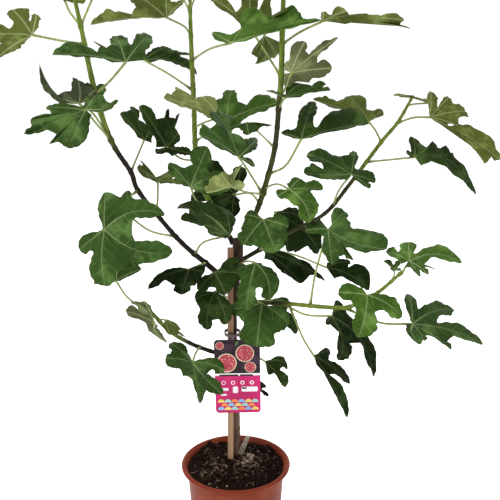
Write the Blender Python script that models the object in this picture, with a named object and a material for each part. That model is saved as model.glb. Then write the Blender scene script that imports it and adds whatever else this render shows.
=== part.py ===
"""Potted common fig: a young tree with six leafy stems, staked and tagged, in a round nursery pot.

Metres, +Z up. The origin is the middle of the pot's flat underside, and -Y is the front.
"""

import math

import bmesh
import bpy
import numpy as np
from mathutils import Vector

MM = 0.001

# Pot, in millimetres
POT_HEIGHT = 155
RIM_RADIUS = 95
RIM_DEPTH = 7
POT_TOP_RADIUS = 85.5
POT_FOOT_RADIUS = 75
POT_WALL = 1.8
POT_FLOOR = 2.4
POT_SIDES = 32
DRAIN_HOLES = 8
DRAIN_HOLE_RADIUS = 5
DRAIN_RING_RADIUS = 48

# Soil
SOIL_EDGE_HEIGHT = 146
SOIL_MOUND = 15
SOIL_LUMP = 2.2
GAP = 0.35

# Stake
STAKE_SIDE = 10
STAKE_FOOT = (-9.5, 2, 40)
STAKE_TOP = (-7, 2, 540)

# Plant tag
TAG_WIDTH = 77
TAG_HEIGHT = 133
TAG_THICKNESS = 0.8
TAG_MIDDLE = (4, -7, 318)
TAG_CORNER = 6
TAG_LEAN = 1
LOOP_MIDDLE = (-5, 9, 391)
LOOP_HALF_WIDTH = 13
LOOP_HALF_DEPTH = 15.6
STRAP_WIDTH = 6

# Leaves and stalks
BLADE_THICKNESS = 0.8
STALK_RADIUS = 1.5
COLLAR = 4
RIB_ARCH = 0.05
# How far notches ride high and lobes hang, as shares of their distance from the blade's base
NOTCH_LIFT = 0.10
LOBE_HANG = 0.05
# Points on each side of a lobe's edge, by the least length of its rib
EDGE_POINTS = ((52, 4), (18, 3), (0, 2))

# The tree's points are read as (x, z, y): where they are seen over the trunk's plane from EYE,
# and how far they lie behind that plane.
EYE = Vector((25, -1100, 803))

# Common forms of a fig leaf, as shares of its blade's length: lobes as angle from the midrib, length
# and half width; the notches between them as angle and distance; the heel's corner likewise
FORMS = {
    "five": ([(0, 1.0, 0.165), (48, 0.88, 0.155), (103, 0.54, 0.14)],
             [(25, 0.36), (78, 0.29)], (137, 0.203)),
    "broad": ([(0, 1.0, 0.18), (50, 0.86, 0.17), (104, 0.54, 0.15)],
              [(26, 0.47), (79, 0.37)], (138, 0.217)),
    "young": ([(0, 1.0, 0.20), (46, 0.80, 0.18), (95, 0.42, 0.13)],
              [(24, 0.45), (72, 0.33)], (130, 0.154)),
}

# Each stem from its root to its tip: x, z, y, radius
STEMS = {
    "trunk": [
        (2, 88, 15, 6), (2, 138, 15, 7.5), (2, 160, 15, 9), (2, 174, 15, 7.6), (2, 194, 15, 6.6),
        (1, 250, 15, 6.2), (-2, 330, 15, 6), (-3, 400, 15, 5.8), (0, 470, 15, 6.4), (4, 505, 17, 7.8),
        (5, 535, 18, 9.2), (5, 556, 17, 8),
    ],
    "stem_left": [
        (0, 465, 16, 4), (-31, 500, 11, 4.6), (-82, 545, -8, 4), (-119, 588, -24, 3.6),
        (-154, 635, -41, 3.6), (-164, 664, -49, 3.6), (-190, 707, -59, 3.8), (-207, 756, -70, 4),
        (-219, 812, -83, 3.8), (-228, 868, -96, 3.2), (-236, 914, -107, 2.8), (-243, 955, -117, 2.2),
    ],
    "stem_centre_left": [
        (-2, 548, 20, 4), (-25, 590, 41, 4.2), (-55, 650, 66, 4.2), (-61, 700, 84, 4.2),
        (-62, 768, 106, 4.2), (-64, 836, 129, 4), (-65, 900, 150, 3.2), (-65, 918, 156, 2.4),
    ],
    "stem_centre_right": [
        (9, 546, 13, 4), (35, 600, -3, 4.2), (50, 645, -12, 4.2), (64, 702, -24, 4), (70, 770, -37, 4),
        (73, 812, -45, 4.2), (74, 880, -48, 3.8), (76, 944, -49, 3.2), (80, 990, -51, 2.2),
    ],
    "stem_right": [
        (3, 515, 17, 3.5), (40, 537, 34, 3.8), (90, 567, 57, 3.6), (145, 597, 84, 3.4),
        (184, 645, 104, 3.4), (231, 711, 128, 3.4), (255, 741, 141, 3), (273, 774, 150, 2.2),
    ],
    "stem_low_right": [
        (0, 453, 13, 3), (30, 448, -3, 3.4), (88, 445, -36, 3.4), (141, 440, -65, 3.3),
        (183, 438, -87, 3.2), (205, 447, -99, 3), (237, 465, -116, 2.8), (270, 495, -133, 2.2),
    ],
    "stem_low_left": [
        (0, 349, 16, 3.2), (-38, 360, 12, 3.6), (-73, 374, -20, 3.4), (-110, 397, -58, 3.2),
        (-135, 425, -74, 3), (-153, 441, -86, 2.5),
    ],
}

# Each leaf: its name, its stalk's points from inside the stem, and the blade's base. A leaf of a common
# form then has its tip, the turn of its upper face, its form, the fold of its halves and its droop. A
# leaf drawn by hand has the slope of its blade's depth to the right and up, and its outline on the
# trunk's plane, clockwise as its upper face shows it: a heel corner, then lobes and notches in turn,
# and the other heel corner. A lobe has its tip and the half widths before and behind it, and a bent
# one also a point in the middle of its rib.
LEAVES = {
    "trunk": [
        ("M4", [(5, 512, 15), (20, 518, -12)], (34, 516, -45), (0.02, 0.45), [
            (44, 515), (57, 452, 18.1, 16.5, 54, 485), (38, 473), (19, 433, 16.5, 18.2, 24, 476),
            (8, 493), (5, 505, 8.4, 8.4), (19, 512)]),
        ("M6", [(-1, 440, 15), (25, 452, -15)], (45, 446, -40), (-0.06, 0.32), [
            (54, 443), (90, 409, 13.7, 17.2, 68, 430), (75, 395), (36, 369, 30.2, 30.1), (10, 416),
            (-9, 434, 14, 13.9), (34, 446)]),
        ("M7", [(-2, 426, 16), (30, 448, 35)], (62, 452, 45), (0.60, 0.38), [
            (66, 455), (94, 442, 6.9, 6.9, 78, 450), (86, 433), (103, 392, 8.4, 10.1, 83, 426),
            (63, 443)]),
        ("C16", [(-2, 448, 16), (-20, 461, 15), (-29, 468, -5)], (-34, 466, -25), (-0.07, 0.68), [
            (-27, 465), (-14, 409, 15.1, 10.1, -22, 441), (-34, 417), (-47, 399, 11.6, 15, -44, 434),
            (-59, 437), (-66, 453, 13.7, 10.3), (-45, 467)]),
        ("R16", [(-3, 345, 15), (6, 333, 27)], (26, 307, 34), (0.57, 0.25), [
            (29, 311), (53, 297, 4.6, 4.6), (45, 292), (57, 279, 5.4, 5.4), (40, 288),
            (29, 285, 5.1, 5.1), (23, 301)]),
        ("R15", [(-3, 375, 15), (20, 362, 20)], (50, 343, 25), (0.58, 0.20), [
            (56, 345), (89, 331, 9, 8.1, 71, 345), (76, 328), (87, 297, 11.4, 12.3, 70, 321), (64, 322),
            (59, 318, 6, 6), (52, 336)]),
    ],
    "stem_left": [
        ("L1", [(-227, 859, -94), (-262, 864, -98)], (-305, 873, -101), (0.03, -1.25), [
            (-294, 884), (-296, 902, 6.7, 6.7), (-307, 892), (-331, 909, 13.8, 14.6), (-338, 882),
            (-399, 868, 14.5, 14.6), (-348, 856), (-362, 839, 10, 10), (-309, 868)]),
        ("L1c", [(-238, 927, -110), (-228, 945, -94)], (-220, 965, -74),
         (-190, 1000, -9), 80, "young", (25, 25), 15),
        ("L1a", [(-231, 885, -100), (-246, 905, -94)], (-252, 922, -87),
         (-285, 985, -62), 60, "young", (30, 30), 10),
        ("L1b", [(-231, 885, -100), (-216, 915, -107)], (-205, 940, -112),
         (-165, 1010, -132), 70, "young", (25, 25), 15),
        ("L2", [(-213, 785, -77), (-190, 805, -103)], (-165, 833, -133), (0.34, 1.25), [
            (-186, 832), (-277, 844, 4.5, 13.3), (-208, 847), (-213, 864, 3, 4.5), (-197, 851),
            (-178, 871, 12.3, 13.8), (-156, 858), (-128, 873, 11.7, 13.3), (-132, 836)]),
        ("L4", [(-194, 715, -61), (-219, 755, -59)], (-239, 770, -59), (-1.25, -1.25), [
            (-222, 776), (-214, 791, 6, 5.9), (-221, 800), (-239, 806, 12.4, 12.4), (-260, 789),
            (-297, 831, 9.4, 11.8, -287, 794), (-254, 770)]),
        ("L5", [(-194, 715, -61), (-215, 740, -79)], (-231, 761, -94), (0.23, 0.40), [
            (-221, 753), (-262, 702, 19.9, 10.7), (-272, 709), (-291, 708, 4.5, 3), (-278, 723),
            (-329, 724, 9.1, 6), (-316, 737), (-318, 746, 4.6, 6.1), (-285, 755), (-292, 765, 6.1, 6.1),
            (-235, 766), (-200, 800, 10.5, 9), (-198, 775), (-179, 776, 4.5, 4.5, -188, 766),
            (-213, 757)]),
        ("C9a", [(-164, 664, -49), (-150, 695, -10)], (-141, 714, 30), (1.25, 1.18), [
            (-152, 719), (-177, 756, 6.3, 6.3), (-166, 759), (-159, 766, 4.7, 4.7), (-149, 746),
            (-129, 735, 7.7, 7.7), (-129, 710)]),
        ("L6", [(-154, 635, -41), (-182, 612, -83)], (-211, 571, -113), (-0.11, 0.13), [
            (-214, 577), (-206, 632, 9.6, 16), (-172, 623), (-112, 597, 17.7, 13, -151, 603), (-166, 568),
            (-101, 533, 25.2, 15.3, -163, 539), (-167, 508), (-214, 475, 21.3, 19.6, -216, 523),
            (-231, 534), (-253, 538, 14.5, 12.8), (-219, 569)]),
        ("L7b", [(-95, 559, -15), (-137, 569, 8)], (-173, 596, 26),
         (-216, 557, 70), 60, "five", (15, 15), 20),
        ("C10", [(-126, 597, -27), (-123, 619, -16)], (-121, 651, 4), (1.21, 1.25), [
            (-124, 647), (-154, 671, 8.1, 4.8), (-148, 672), (-148, 684, 3.2, 4.8), (-126, 656),
            (-86, 668, 4.7, 7.9), (-100, 651), (-75, 645, 6.4, 4.8), (-118, 645)]),
        ("C12", [(-65, 530, -1), (-50, 550, -32)], (-7, 562, -52), (0.84, 1.25), [
            (-15, 555), (-43, 566, 6.7, 6.6), (-47, 574), (-87, 588, 11.6, 8.3), (-73, 599),
            (-93, 606, 6.6, 11.5, -57, 598), (-37, 615), (-15, 605, 11.3, 11.3), (-2, 572)]),
        ("C15", [(-48, 515, 5), (-52, 514, -20)], (-75, 505, -40), (-0.06, 1.25), [
            (-65, 509), (-50, 499, 10.2, 10.3), (-66, 476), (-89, 461, 13.2, 13.1), (-103, 478),
            (-144, 471, 8.4, 6.7, -116, 490), (-91, 508)]),
        ("C14", [(-24, 493, 13), (-27, 499, 0)], (-33, 500, -25), (-0.23, 0.73), [
            (-26, 505), (5, 524, 6.7, 10.1), (5, 507), (15, 497, 11.9, 12), (1, 476),
            (-15, 461, 13.3, 11.7), (-35, 473), (-60, 467, 11.7, 10), (-40, 497)]),
    ],
    "stem_centre_left": [
        ("C0a", [(-65, 905, 151), (-78, 930, 157)], (-90, 955, 162),
         (-150, 985, 187), 80, "young", (30, 20), 15),
        ("C0b", [(-65, 909, 153), (-55, 930, 143)], (-42, 950, 133),
         (15, 985, 98), 80, "young", (30, 20), 15),
        ("C0c", [(-65, 915, 155), (-68, 925, 152)], (-72, 935, 150),
         (-85, 985, 140), 60, "young", (40, 40), 10),
        ("C1", [(-65, 872, 141), (-75, 885, 139)], (-101, 898, 134), (0.23, -1.25), [
            (-90, 903), (-73, 923, 4.3, 2.9), (-93, 920), (-99, 965, 15, 15), (-127, 940),
            (-151, 934, 11.8, 13.3), (-155, 899), (-216, 887, 10, 2.9), (-113, 896)]),
        ("A3", [(-64, 791, 114), (-100, 815, 126)], (-137, 836, 138), (0.53, 1.25), [
            (-141, 840), (-104, 856, 4.4, 4.4), (-93, 850), (-64, 843, 2.9, 2.2), (-90, 846),
            (-56, 814, 8.9, 4.5, -94, 832), (-127, 832)]),
        ("C3", [(-63, 836, 129), (-36, 852, 50)], (-4, 861, -45), (-0.42, 0.45), [
            (-12, 860), (-32, 876, 7.4, 5.9), (10, 881), (38, 909, 11.8, 11.9), (61, 894),
            (88, 916, 11.7, 10.3), (105, 896), (135, 894, 4.4, 4.4), (19, 863)]),
        ("C4", [(-61, 712, 88), (-35, 730, 76)], (-12, 745, 61), (-0.33, 1.25), [
            (-26, 747), (-33, 775, 6.2, 4.7), (-20, 778), (-4, 791, 10.8, 10.8), (18, 769),
            (68, 772, 15.2, 9.2), (10, 740)]),
        ("C4b", [(-62, 734, 95), (-45, 742, 71)], (-22, 750, 46), (-0.66, -1.25), [
            (-26, 758), (-49, 781, 9.3, 9.3), (-67, 774), (-90, 797, 7.7, 3.1), (-97, 783),
            (-109, 779, 4.6, 7.7), (-40, 748)]),
        ("C9", [(-61, 682, 78), (-85, 686, 36)], (-106, 704, 6), (0.81, 0.01), [
            (-123, 703), (-147, 767, 9.5, 11), (-120, 747), (-102, 763, 5.5, 4.7), (-102, 750),
            (-84, 756, 4.6, 4.6), (-95, 738), (-87, 725, 7.7, 7.7), (-94, 705), (-66, 692, 7.9, 4.7),
            (-98, 689), (-124, 695, 6.2, 6.2), (-121, 700)]),
        ("C11", [(-30, 599, 44), (-60, 618, -2)], (-70, 640, -28), (-0.67, -0.26), [
            (-82, 642), (-104, 678, 9.6, 8, -86, 663), (-67, 676), (-42, 704, 17.3, 17.4, -58, 665),
            (-39, 663), (-24, 666, 6.3, 6.3), (-18, 654), (-5, 638, 11.2, 9.7), (-58, 631)]),
    ],
    "stem_centre_right": [
        ("C2", [(72, 812, -45), (50, 845, -7)], (25, 884, 33), (-1.13, -1.25), [
            (58, 900), (55, 945, 8.9, 11.9), (36, 903), (19, 954, 12, 13.5), (1, 904),
            (-44, 931, 7.3, 7.3), (16, 880)]),
        ("C6a", [(76, 943, -49), (95, 965, -35)], (120, 975, -20),
         (210, 960, 20), 85, "five", (20, 20), 25),
        ("C6b", [(76, 952, -49), (55, 975, -66)], (30, 985, -86),
         (-50, 985, -151), 70, "five", (20, 20), 25),
        ("C6c", [(79, 976, -50), (85, 990, -44)], (92, 1002, -39),
         (120, 1045, -14), 70, "young", (30, 30), 10),
        ("C6d", [(80, 982, -51), (72, 995, -55)], (65, 1005, -57),
         (40, 1040, -75), 70, "young", (30, 30), 10),
        ("C6", [(73, 858, -49), (100, 876, -42)], (135, 893, -32), (-0.19, -1.25), [
            (169, 888), (269, 882, 2.2, 2.9), (252, 885), (258, 894, 4.3, 5.7), (223, 898),
            (200, 904, 10.1, 8.7), (180, 896), (170, 907, 4.4, 7.3), (147, 901), (135, 906, 6, 3),
            (131, 898)]),
        ("C7", [(74, 880, -50), (60, 882, -34)], (47, 872, 1), (1.25, -1.07), [
            (75, 860), (66, 842, 6, 7.5), (51, 835), (34, 830, 7.6, 4.6), (36, 840), (28, 844, 4.5, 4.5),
            (39, 864)]),
        ("R1", [(71, 777, -38), (80, 795, -44)], (88, 817, -54), (0.46, -0.26), [
            (76, 815), (81, 795, 6.2, 7.7), (116, 802), (151, 824, 14.9, 13.4), (128, 832),
            (159, 869, 6, 6), (115, 844), (108, 863, 9.2, 12.2), (83, 834), (79, 832, 3.8, 3.8),
            (77, 821)]),
        ("R2", [(70, 762, -35), (74, 772, -47)], (78, 779, -57), (-0.56, 1.25), [
            (75, 783), (49, 790, 3, 3), (79, 784), (102, 801, 7.7, 9.2), (121, 797), (142, 800, 3.8, 3),
            (138, 793), (150, 791, 3, 2.3), (103, 780)]),
        ("R3", [(57, 662, -16), (82, 675, -27)], (105, 716, -42), (-0.27, 1.25), [
            (92, 717), (74, 726, 3.9, 6.2), (95, 732), (124, 774, 14.1, 11), (126, 735),
            (211, 740, 24.8, 6.2), (122, 718)]),
        ("C5", [(44, 631, -9), (19, 671, -39)], (8, 688, -84), (1.25, 1.25), [
            (-3, 691), (-55, 724, 7.9, 12.5), (-37, 733), (-29, 758, 12.6, 14.1), (-3, 725),
            (36, 717, 7.8, 9.4), (14, 688), (33, 674, 4.7, 4.7), (11, 685)]),
        ("C17", [(63, 703, -24), (39, 726, -51)], (20, 742, -81), (-0.80, 1.25), [
            (28, 741), (60, 738, 4.6, 4.6), (37, 729), (23, 723, 7.8, 7.8), (11, 729),
            (-7, 733, 4.6, 4.6), (12, 740)]),
        ("C8", [(44, 629, -9), (20, 632, -50)], (-5, 640, -80), (1.13, 0.65), [
            (3, 638), (17, 644, 6.4, 9.6), (-7, 657), (13, 677, 4.8, 4.8), (-16, 665),
            (-21, 663, 4.8, 9.6), (-40, 652), (-45, 631, 11.2, 4.8), (-13, 638)]),
        ("C13", [(41, 614, -5), (25, 630, 45)], (0, 628, 88),
         (-70, 622, 133), 40, "broad", (15, 15), 20),
        ("M1", [(47, 638, -11), (68, 645, -30)], (88, 637, -45), (-0.11, 0.67), [
            (83, 646), (104, 654, 8, 6.4), (112, 649), (142, 637, 11.2, 6.4), (122, 634),
            (122, 583, 19.1, 17.6, 112, 612), (96, 610), (69, 625, 8.1, 8.1), (80, 636)]),
        ("M2", [(30, 591, 0), (36, 592, -35)], (46, 588, -65), (-0.15, 0.80), [
            (58, 592), (87, 576, 13.1, 13.1), (84, 552), (67, 533, 17.8, 17.9), (39, 541),
            (14, 546, 14.7, 14.7), (10, 572), (18, 596, 8.2, 8.2), (36, 597)]),
    ],
    "stem_right": [
        ("M3", [(63, 551, 44), (62, 580, 51)], (66, 600, 56), (1.04, 0.17), [
            (73, 602), (110, 589, 9.8, 11.4, 89, 598), (114, 575), (138, 535, 16.2, 14.7, 111, 566),
            (106, 536), (87, 533, 8.1, 8.1, 80, 568), (62, 588)]),
        ("R6", [(256, 741, 141), (280, 749, 139)], (305, 750, 134), (-1.15, -1.25), [
            (312, 744), (397, 677, 2.3, 7.5, 351, 719), (400, 687), (420, 683, 7.6, 19.5), (333, 738),
            (350, 737, 3, 3), (350, 745), (360, 759, 12.4, 10.8), (339, 771), (333, 780, 4.8, 6.3),
            (316, 765), (304, 789, 9.3, 7.8), (303, 758)]),
        ("R6b", [(265, 757, 146), (272, 768, 153)], (300, 772, 163),
         (247, 783, 203), 88, "young", (5, 5), 10),
        ("R4", [(231, 711, 128), (222, 728, 135)], (211, 743, 140), (0.82, 1.25), [
            (183, 753), (122, 777, 9.1, 6), (160, 774), (179, 782, 9.1, 12.1), (208, 761),
            (230, 761, 6.3, 7.9), (219, 747)]),
        ("R7", [(209, 680, 117), (250, 684, 105)], (285, 688, 85), (1.14, 1.25), [
            (278, 686), (271, 696, 3.1, 3.1), (278, 696), (282, 718, 9.4, 7.8), (302, 703),
            (314, 711, 4.8, 4.8), (319, 704), (346, 682, 18.7, 4.7), (337, 679),
            (387, 628, 7.7, 15.4, 358, 666), (296, 674)]),
        ("R5", [(158, 609, 91), (167, 635, 75)], (186, 661, 60), (0.29, 1.25), [
            (179, 651), (110, 663, 8, 11.1, 149, 657), (141, 670), (115, 693, 11, 12.5), (167, 689),
            (190, 697, 7.9, 6.4), (191, 671), (225, 649, 11, 4.7), (213, 646), (216, 638, 4.7, 4.7),
            (192, 651)]),
        ("R9", [(47, 541, 37), (100, 528, 56)], (150, 508, 66), (0.60, 1.06), [
            (151, 516), (187, 520, 5.1, 8.5), (186, 508), (222, 469, 23.3, 10, 187, 493), (164, 488)]),
        ("M8", [(40, 537, 34), (44, 539, 22)], (50, 535, 9), (0.59, 1.25), [
            (60, 539), (149, 485, 6.7, 5, 106, 509), (118, 487), (110, 480, 6.6, 10, 86, 502),
            (48, 522)]),
    ],
    "stem_low_right": [
        ("R8", [(125, 442, -56), (133, 500, -65)], (151, 572, -80), (-0.12, 1.11), [
            (156, 578), (178, 600, 13.2, 9.9), (188, 582), (248, 539, 24.6, 11.6, 194, 545), (175, 544),
            (195, 520, 4.9, 9.7), (175, 527), (159, 513, 13, 13), (143, 560), (114, 570, 8.3, 13.2),
            (136, 590)]),
        ("R13", [(270, 494, -133), (276, 501, -137)], (286, 519, -140), (-0.12, 1.25), [
            (272, 513), (248, 537, 8.2, 6.6, 267, 527), (265, 533), (282, 550, 14.6, 13), (293, 531),
            (372, 516, 13.4, 10.1, 326, 527), (310, 511), (330, 505, 3.3, 3.3), (312, 508),
            (318, 496, 4.1, 4.1), (299, 503), (305, 492, 4, 4.8), (278, 508)]),
        ("R13b", [(258, 485, -127), (262, 495, -124)], (262, 503, -122),
         (246, 520, -102), 60, "young", (20, 20), 15),
        ("R10", [(190, 440, -91), (207, 450, -113)], (219, 461, -128), (0.03, 0.46), [
            (230, 464), (279, 422, 13.4, 15.2, 243, 450), (235, 431), (207, 386, 23.6, 18.5, 216, 422),
            (197, 441), (171, 465, 13.8, 15.5), (209, 474)]),
        ("R11", [(183, 438, -87), (242, 412, -101)], (297, 410, -116), (0.63, 1.25), [
            (292, 417), (288, 462, 11.6, 8.3), (305, 436), (363, 436, 16, 16.1, 330, 429), (338, 412),
            (418, 374, 12.2, 10.5, 352, 396), (357, 378), (365, 364, 4.3, 3.4), (321, 389),
            (319, 380, 5, 5), (306, 392), (310, 373, 8.3, 8.3, 296, 390), (285, 408)]),
        ("R12", [(80, 445, -31), (118, 426, -53)], (162, 424, -73), (1.25, 1.25), [
            (162, 431), (173, 450, 7.6, 7.6), (185, 433), (237, 314, 11.8, 10.1, 200, 390), (189, 374),
            (174, 345, 10.1, 10.1, 178, 381), (162, 406), (152, 410, 5.2, 5.2), (154, 422)]),
        ("R14", [(89, 445, -36), (114, 385, -30)], (133, 354, -20), (1.25, 0.91), [
            (138, 356), (160, 362, 7.2, 7.2), (158, 346), (196, 303, 8.8, 8.8), (160, 318),
            (193, 238, 10.3, 5.2, 163, 296), (138, 336)]),
    ],
    "stem_low_left": [
        ("L7", [(-153, 440, -86), (-177, 455, -76)], (-196, 485, -61), (-0.22, 1.25), [
            (-202, 482), (-233, 481, 5.1, 6.8), (-223, 493), (-208, 523, 10.1, 10), (-199, 516),
            (-185, 533, 8.1, 8.1), (-177, 516), (-153, 505, 10, 5), (-189, 484)]),
        ("C15b", [(-127, 416, -70), (-122, 418, -66)], (-117, 417, -64), (0.06, 0.41), [
            (-112, 418), (-91, 399, 5.3, 4.4), (-102, 401), (-83, 387, 4.4, 4.4), (-99, 391),
            (-109, 390, 5.1, 5.1), (-121, 406)]),
        ("L8", [(-141, 431, -78), (-140, 422, -91)], (-134, 412, -106), (-0.56, -1.25), [
            (-137, 425), (-153, 451, 3.4, 3.4), (-151, 439), (-170, 448, 7, 7, -152, 434), (-163, 435),
            (-182, 433, 10.6, 8.9, -157, 422), (-145, 397), (-115, 376, 6.9, 5.2, -135, 395),
            (-129, 406)]),
        ("L9", [(-60, 369, -8), (-68, 355, -46)], (-72, 342, -74), (0.13, 1.25), [
            (-59, 347), (-18, 326, 10.9, 10.9, -46, 337), (-47, 321), (-22, 282, 10.7, 16.1, -53, 310),
            (-63, 300), (-61, 264, 13.7, 5.2), (-90, 316), (-118, 349, 18.2, 5.4), (-111, 356),
            (-108, 376, 10.7, 10.6), (-78, 355)]),
    ],
}


def seen(x, z, y):
    """The point y behind the trunk's plane that is seen over (x, z) of that plane."""
    return EYE + (Vector((x, 0, z)) - EYE) * (1 - y / EYE.y)


def smooth_curve(points, steps):
    """A Catmull-Rom curve through points, with the given steps to each span."""
    p = np.asarray(points, float)
    ends = np.vstack([2 * p[0] - p[1], p, 2 * p[-1] - p[-2]])
    curve = []
    for i in range(1, len(ends) - 2):
        a, b, c, d = ends[i - 1:i + 3]
        for k in range(steps):
            t = k / steps
            curve.append(0.5 * (2 * b + (c - a) * t + (2 * a - 5 * b + 4 * c - d) * t ** 2
                                + (3 * b - a - 3 * c + d) * t ** 3))
    curve.append(p[-1])
    return np.array(curve)


def drawn_outline(base, slope, points):
    """An outline read from the front, in the round: the blade slopes to the right and up, its notches
    ride high and its lobes hang."""
    turning = sum(a[0] * b[1] - a[1] * b[0] for a, b in zip(points, points[1:] + points[:1]))
    side = math.copysign(1, turning)
    facing = side / math.hypot(1, *slope)
    root = seen(*base)

    def spot(x, z, lift=0.0):
        deep = base[2] + slope[0] * (x - base[0]) + slope[1] * (z - base[1])
        return x, z, deep + lift * facing * (seen(x, z, deep) - root).length

    outline = []
    for i, (x, z, *more) in enumerate(points):
        if i % 2 == 0:
            outline.append(spot(x, z, NOTCH_LIFT * (0.6 if i in (0, len(points) - 1) else 1)))
            continue
        middle = more[2:] or ((x + base[0]) / 2, (z + base[1]) / 2)
        ahead = (seen(*spot(x, z)) - root).normalized()
        across = Vector((z - base[1], base[0] - x)).normalized() * side
        widths = []
        for way, width in zip((across, -across), more):
            edge = seen(*spot(middle[0] + way.x * width, middle[1] + way.y * width))
            off = edge - seen(*spot(*middle))
            widths.append((off - off.dot(ahead) * ahead).length)
        rib = spot(*middle, -LOBE_HANG) if more[2:] else ()
        outline.append((*spot(x, z, -LOBE_HANG), *widths, *rib))
    return outline


def formed_outline(name, base, tip, turn, form, fold, droop):
    """The outline of a common form, laid from base to tip: turn takes its upper face from the viewer
    (0) to the sky (90), fold lifts both halves off the midrib, and the tip droops."""
    lobes, notches, heel = FORMS[form]
    seed = sum(map(ord, name))
    rng = np.random.default_rng(seed)
    marks = [(*heel, 0)]
    for side in (1, -1):
        for i in range(len(lobes) - 1, -1, -1) if side > 0 else range(1, len(lobes)):
            if side < 0:
                marks.append((-notches[i - 1][0], notches[i - 1][1] * rng.uniform(0.86, 1.14), 0))
            angle, length, width = lobes[i]
            if i:
                angle, length = side * angle + rng.uniform(-5, 5), length * rng.uniform(0.86, 1.14)
            marks.append((angle, length, width))
            if side > 0 and i > 0:
                marks.append((notches[i - 1][0], notches[i - 1][1] * rng.uniform(0.86, 1.14), 0))
    marks += [(-heel[0], heel[1], 0), (0, 1, 0)]
    angle, reach = np.radians([m[0] for m in marks]), np.array([m[1] for m in marks])
    u, v = reach * np.cos(angle), reach * np.sin(angle)
    rise = np.radians(np.where(v >= 0, *fold))
    wave = np.sin(4 * angle + seed) + 0.6 * np.sin(9 * angle + 2.3 * seed)
    w = np.abs(v) * np.sin(rise) + 0.05 * reach ** 1.5 * wave
    bend = math.radians(droop)
    along = np.sin(bend * u) / bend + w * np.sin(bend * u)
    up = (np.cos(bend * u) - 1) / bend + w * np.cos(bend * u)
    tilt = math.atan2(up[-1], along[-1])
    root, end = seen(*base), seen(*tip)
    size = (end - root).length / math.hypot(along[-1], up[-1])
    ahead = (end - root).normalized()
    front = (Vector((0, -1, 0)) + ahead.y * ahead).normalized()
    sky = front.cross(ahead) * (1 if ahead.x >= 0 else -1)
    face = math.cos(math.radians(turn)) * front + math.sin(math.radians(turn)) * sky
    beside = face.cross(ahead)
    outline = []
    for k, (_, _, width) in enumerate(marks[:-1]):
        a = along[k] * math.cos(tilt) + up[k] * math.sin(tilt)
        c = up[k] * math.cos(tilt) - along[k] * math.sin(tilt)
        b = v[k] * math.cos(rise[k])
        point = root + size * (float(a) * ahead + float(b) * beside + float(c) * face)
        spread = EYE.y / (EYE.y - point.y)
        over = EYE + (point - EYE) * spread
        widths = [width * size * rng.uniform(0.86, 1.14) for _ in (1, 2)] if width else []
        outline.append((over.x, over.z, point.y, *widths))
    return outline


def leaf_outline(name, base, *shape):
    """A leaf's outline in the round, drawn by hand or of a common form."""
    return drawn_outline(base, *shape) if len(shape) == 2 else formed_outline(name, base, *shape)


def material(name, colour, roughness):
    """A plain Principled material."""
    mat = bpy.data.materials.new(name)
    mat.use_nodes = True
    shader = mat.node_tree.nodes["Principled BSDF"]
    shader.inputs["Base Color"].default_value = (*colour, 1)
    shader.inputs["Roughness"].default_value = roughness
    shader.inputs["Metallic"].default_value = 0
    mat.diffuse_color = (*colour, 1)
    return mat


def add_object(name, bm, mat=None, collection=None):
    """A new object from a bmesh built in millimetres."""
    bmesh.ops.scale(bm, vec=(MM, MM, MM), verts=bm.verts)
    mesh = bpy.data.meshes.new(name)
    bm.to_mesh(mesh)
    bm.free()
    obj = bpy.data.objects.new(name, mesh)
    (collection or bpy.context.scene.collection).objects.link(obj)
    if mat:
        mesh.materials.append(mat)
        mesh.shade_smooth()
        mesh.set_sharp_from_angle(angle=math.radians(40))
    return obj


def add_loft(bm, rings):
    """Join rings of points in turn and close both ends."""
    loops = [[bm.verts.new(p) for p in ring] for ring in rings]
    sides = len(loops[0])
    for low, high in zip(loops, loops[1:]):
        for k in range(sides):
            n = (k + 1) % sides
            bm.faces.new((low[k], low[n], high[n], high[k]))
    bm.faces.new(loops[0][::-1])
    bm.faces.new(loops[-1])


def tube_rings(path, radii, sides):
    """Rings across a path, carried along it without twist."""
    points = [Vector(p) for p in path]
    ahead = (points[1] - points[0]).normalized()
    across = ahead.cross(Vector((0.3, 1, 0.1))).normalized()
    rings = []
    for i, point in enumerate(points):
        before, after = points[max(i - 1, 0)], points[min(i + 1, len(points) - 1)]
        ahead = (after - before).normalized()
        across = (across - across.dot(ahead) * ahead).normalized()
        beside = ahead.cross(across)
        turns = [2 * math.pi * k / sides for k in range(sides)]
        radius = float(radii[i])
        rings.append([point + radius * (math.cos(t) * across + math.sin(t) * beside) for t in turns])
    return rings


def stem_curve(name, steps=1):
    """The stem's curve as rows of x, y, z and radius."""
    rows = [(*seen(x, z, y), radius) for x, z, y, radius in STEMS[name]]
    return smooth_curve(rows, steps)


def add_stem(bm, name, extra=0.0, sides=6, part=slice(None)):
    """The stem as a tube, fatter by extra."""
    curve = stem_curve(name)[part]
    add_loft(bm, tube_rings(curve[:, :3], curve[:, 3] + extra, sides))


def lobe_margin(start, height, width, rows):
    """One side of a lobe's edge from the notch beside it to its tip: shares along and off the rib."""
    rest = 1 - start
    profile = [(start, height), (start + 0.30 * rest, 0.35 * height + 0.65 * width),
               (start + 0.57 * rest, width), (start + 0.83 * rest, 0.80 * width), (1, 0)]
    curve = smooth_curve(profile, 8)
    picks = np.linspace(0, len(curve) - 1, rows).round().astype(int)
    return curve[picks]


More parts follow.
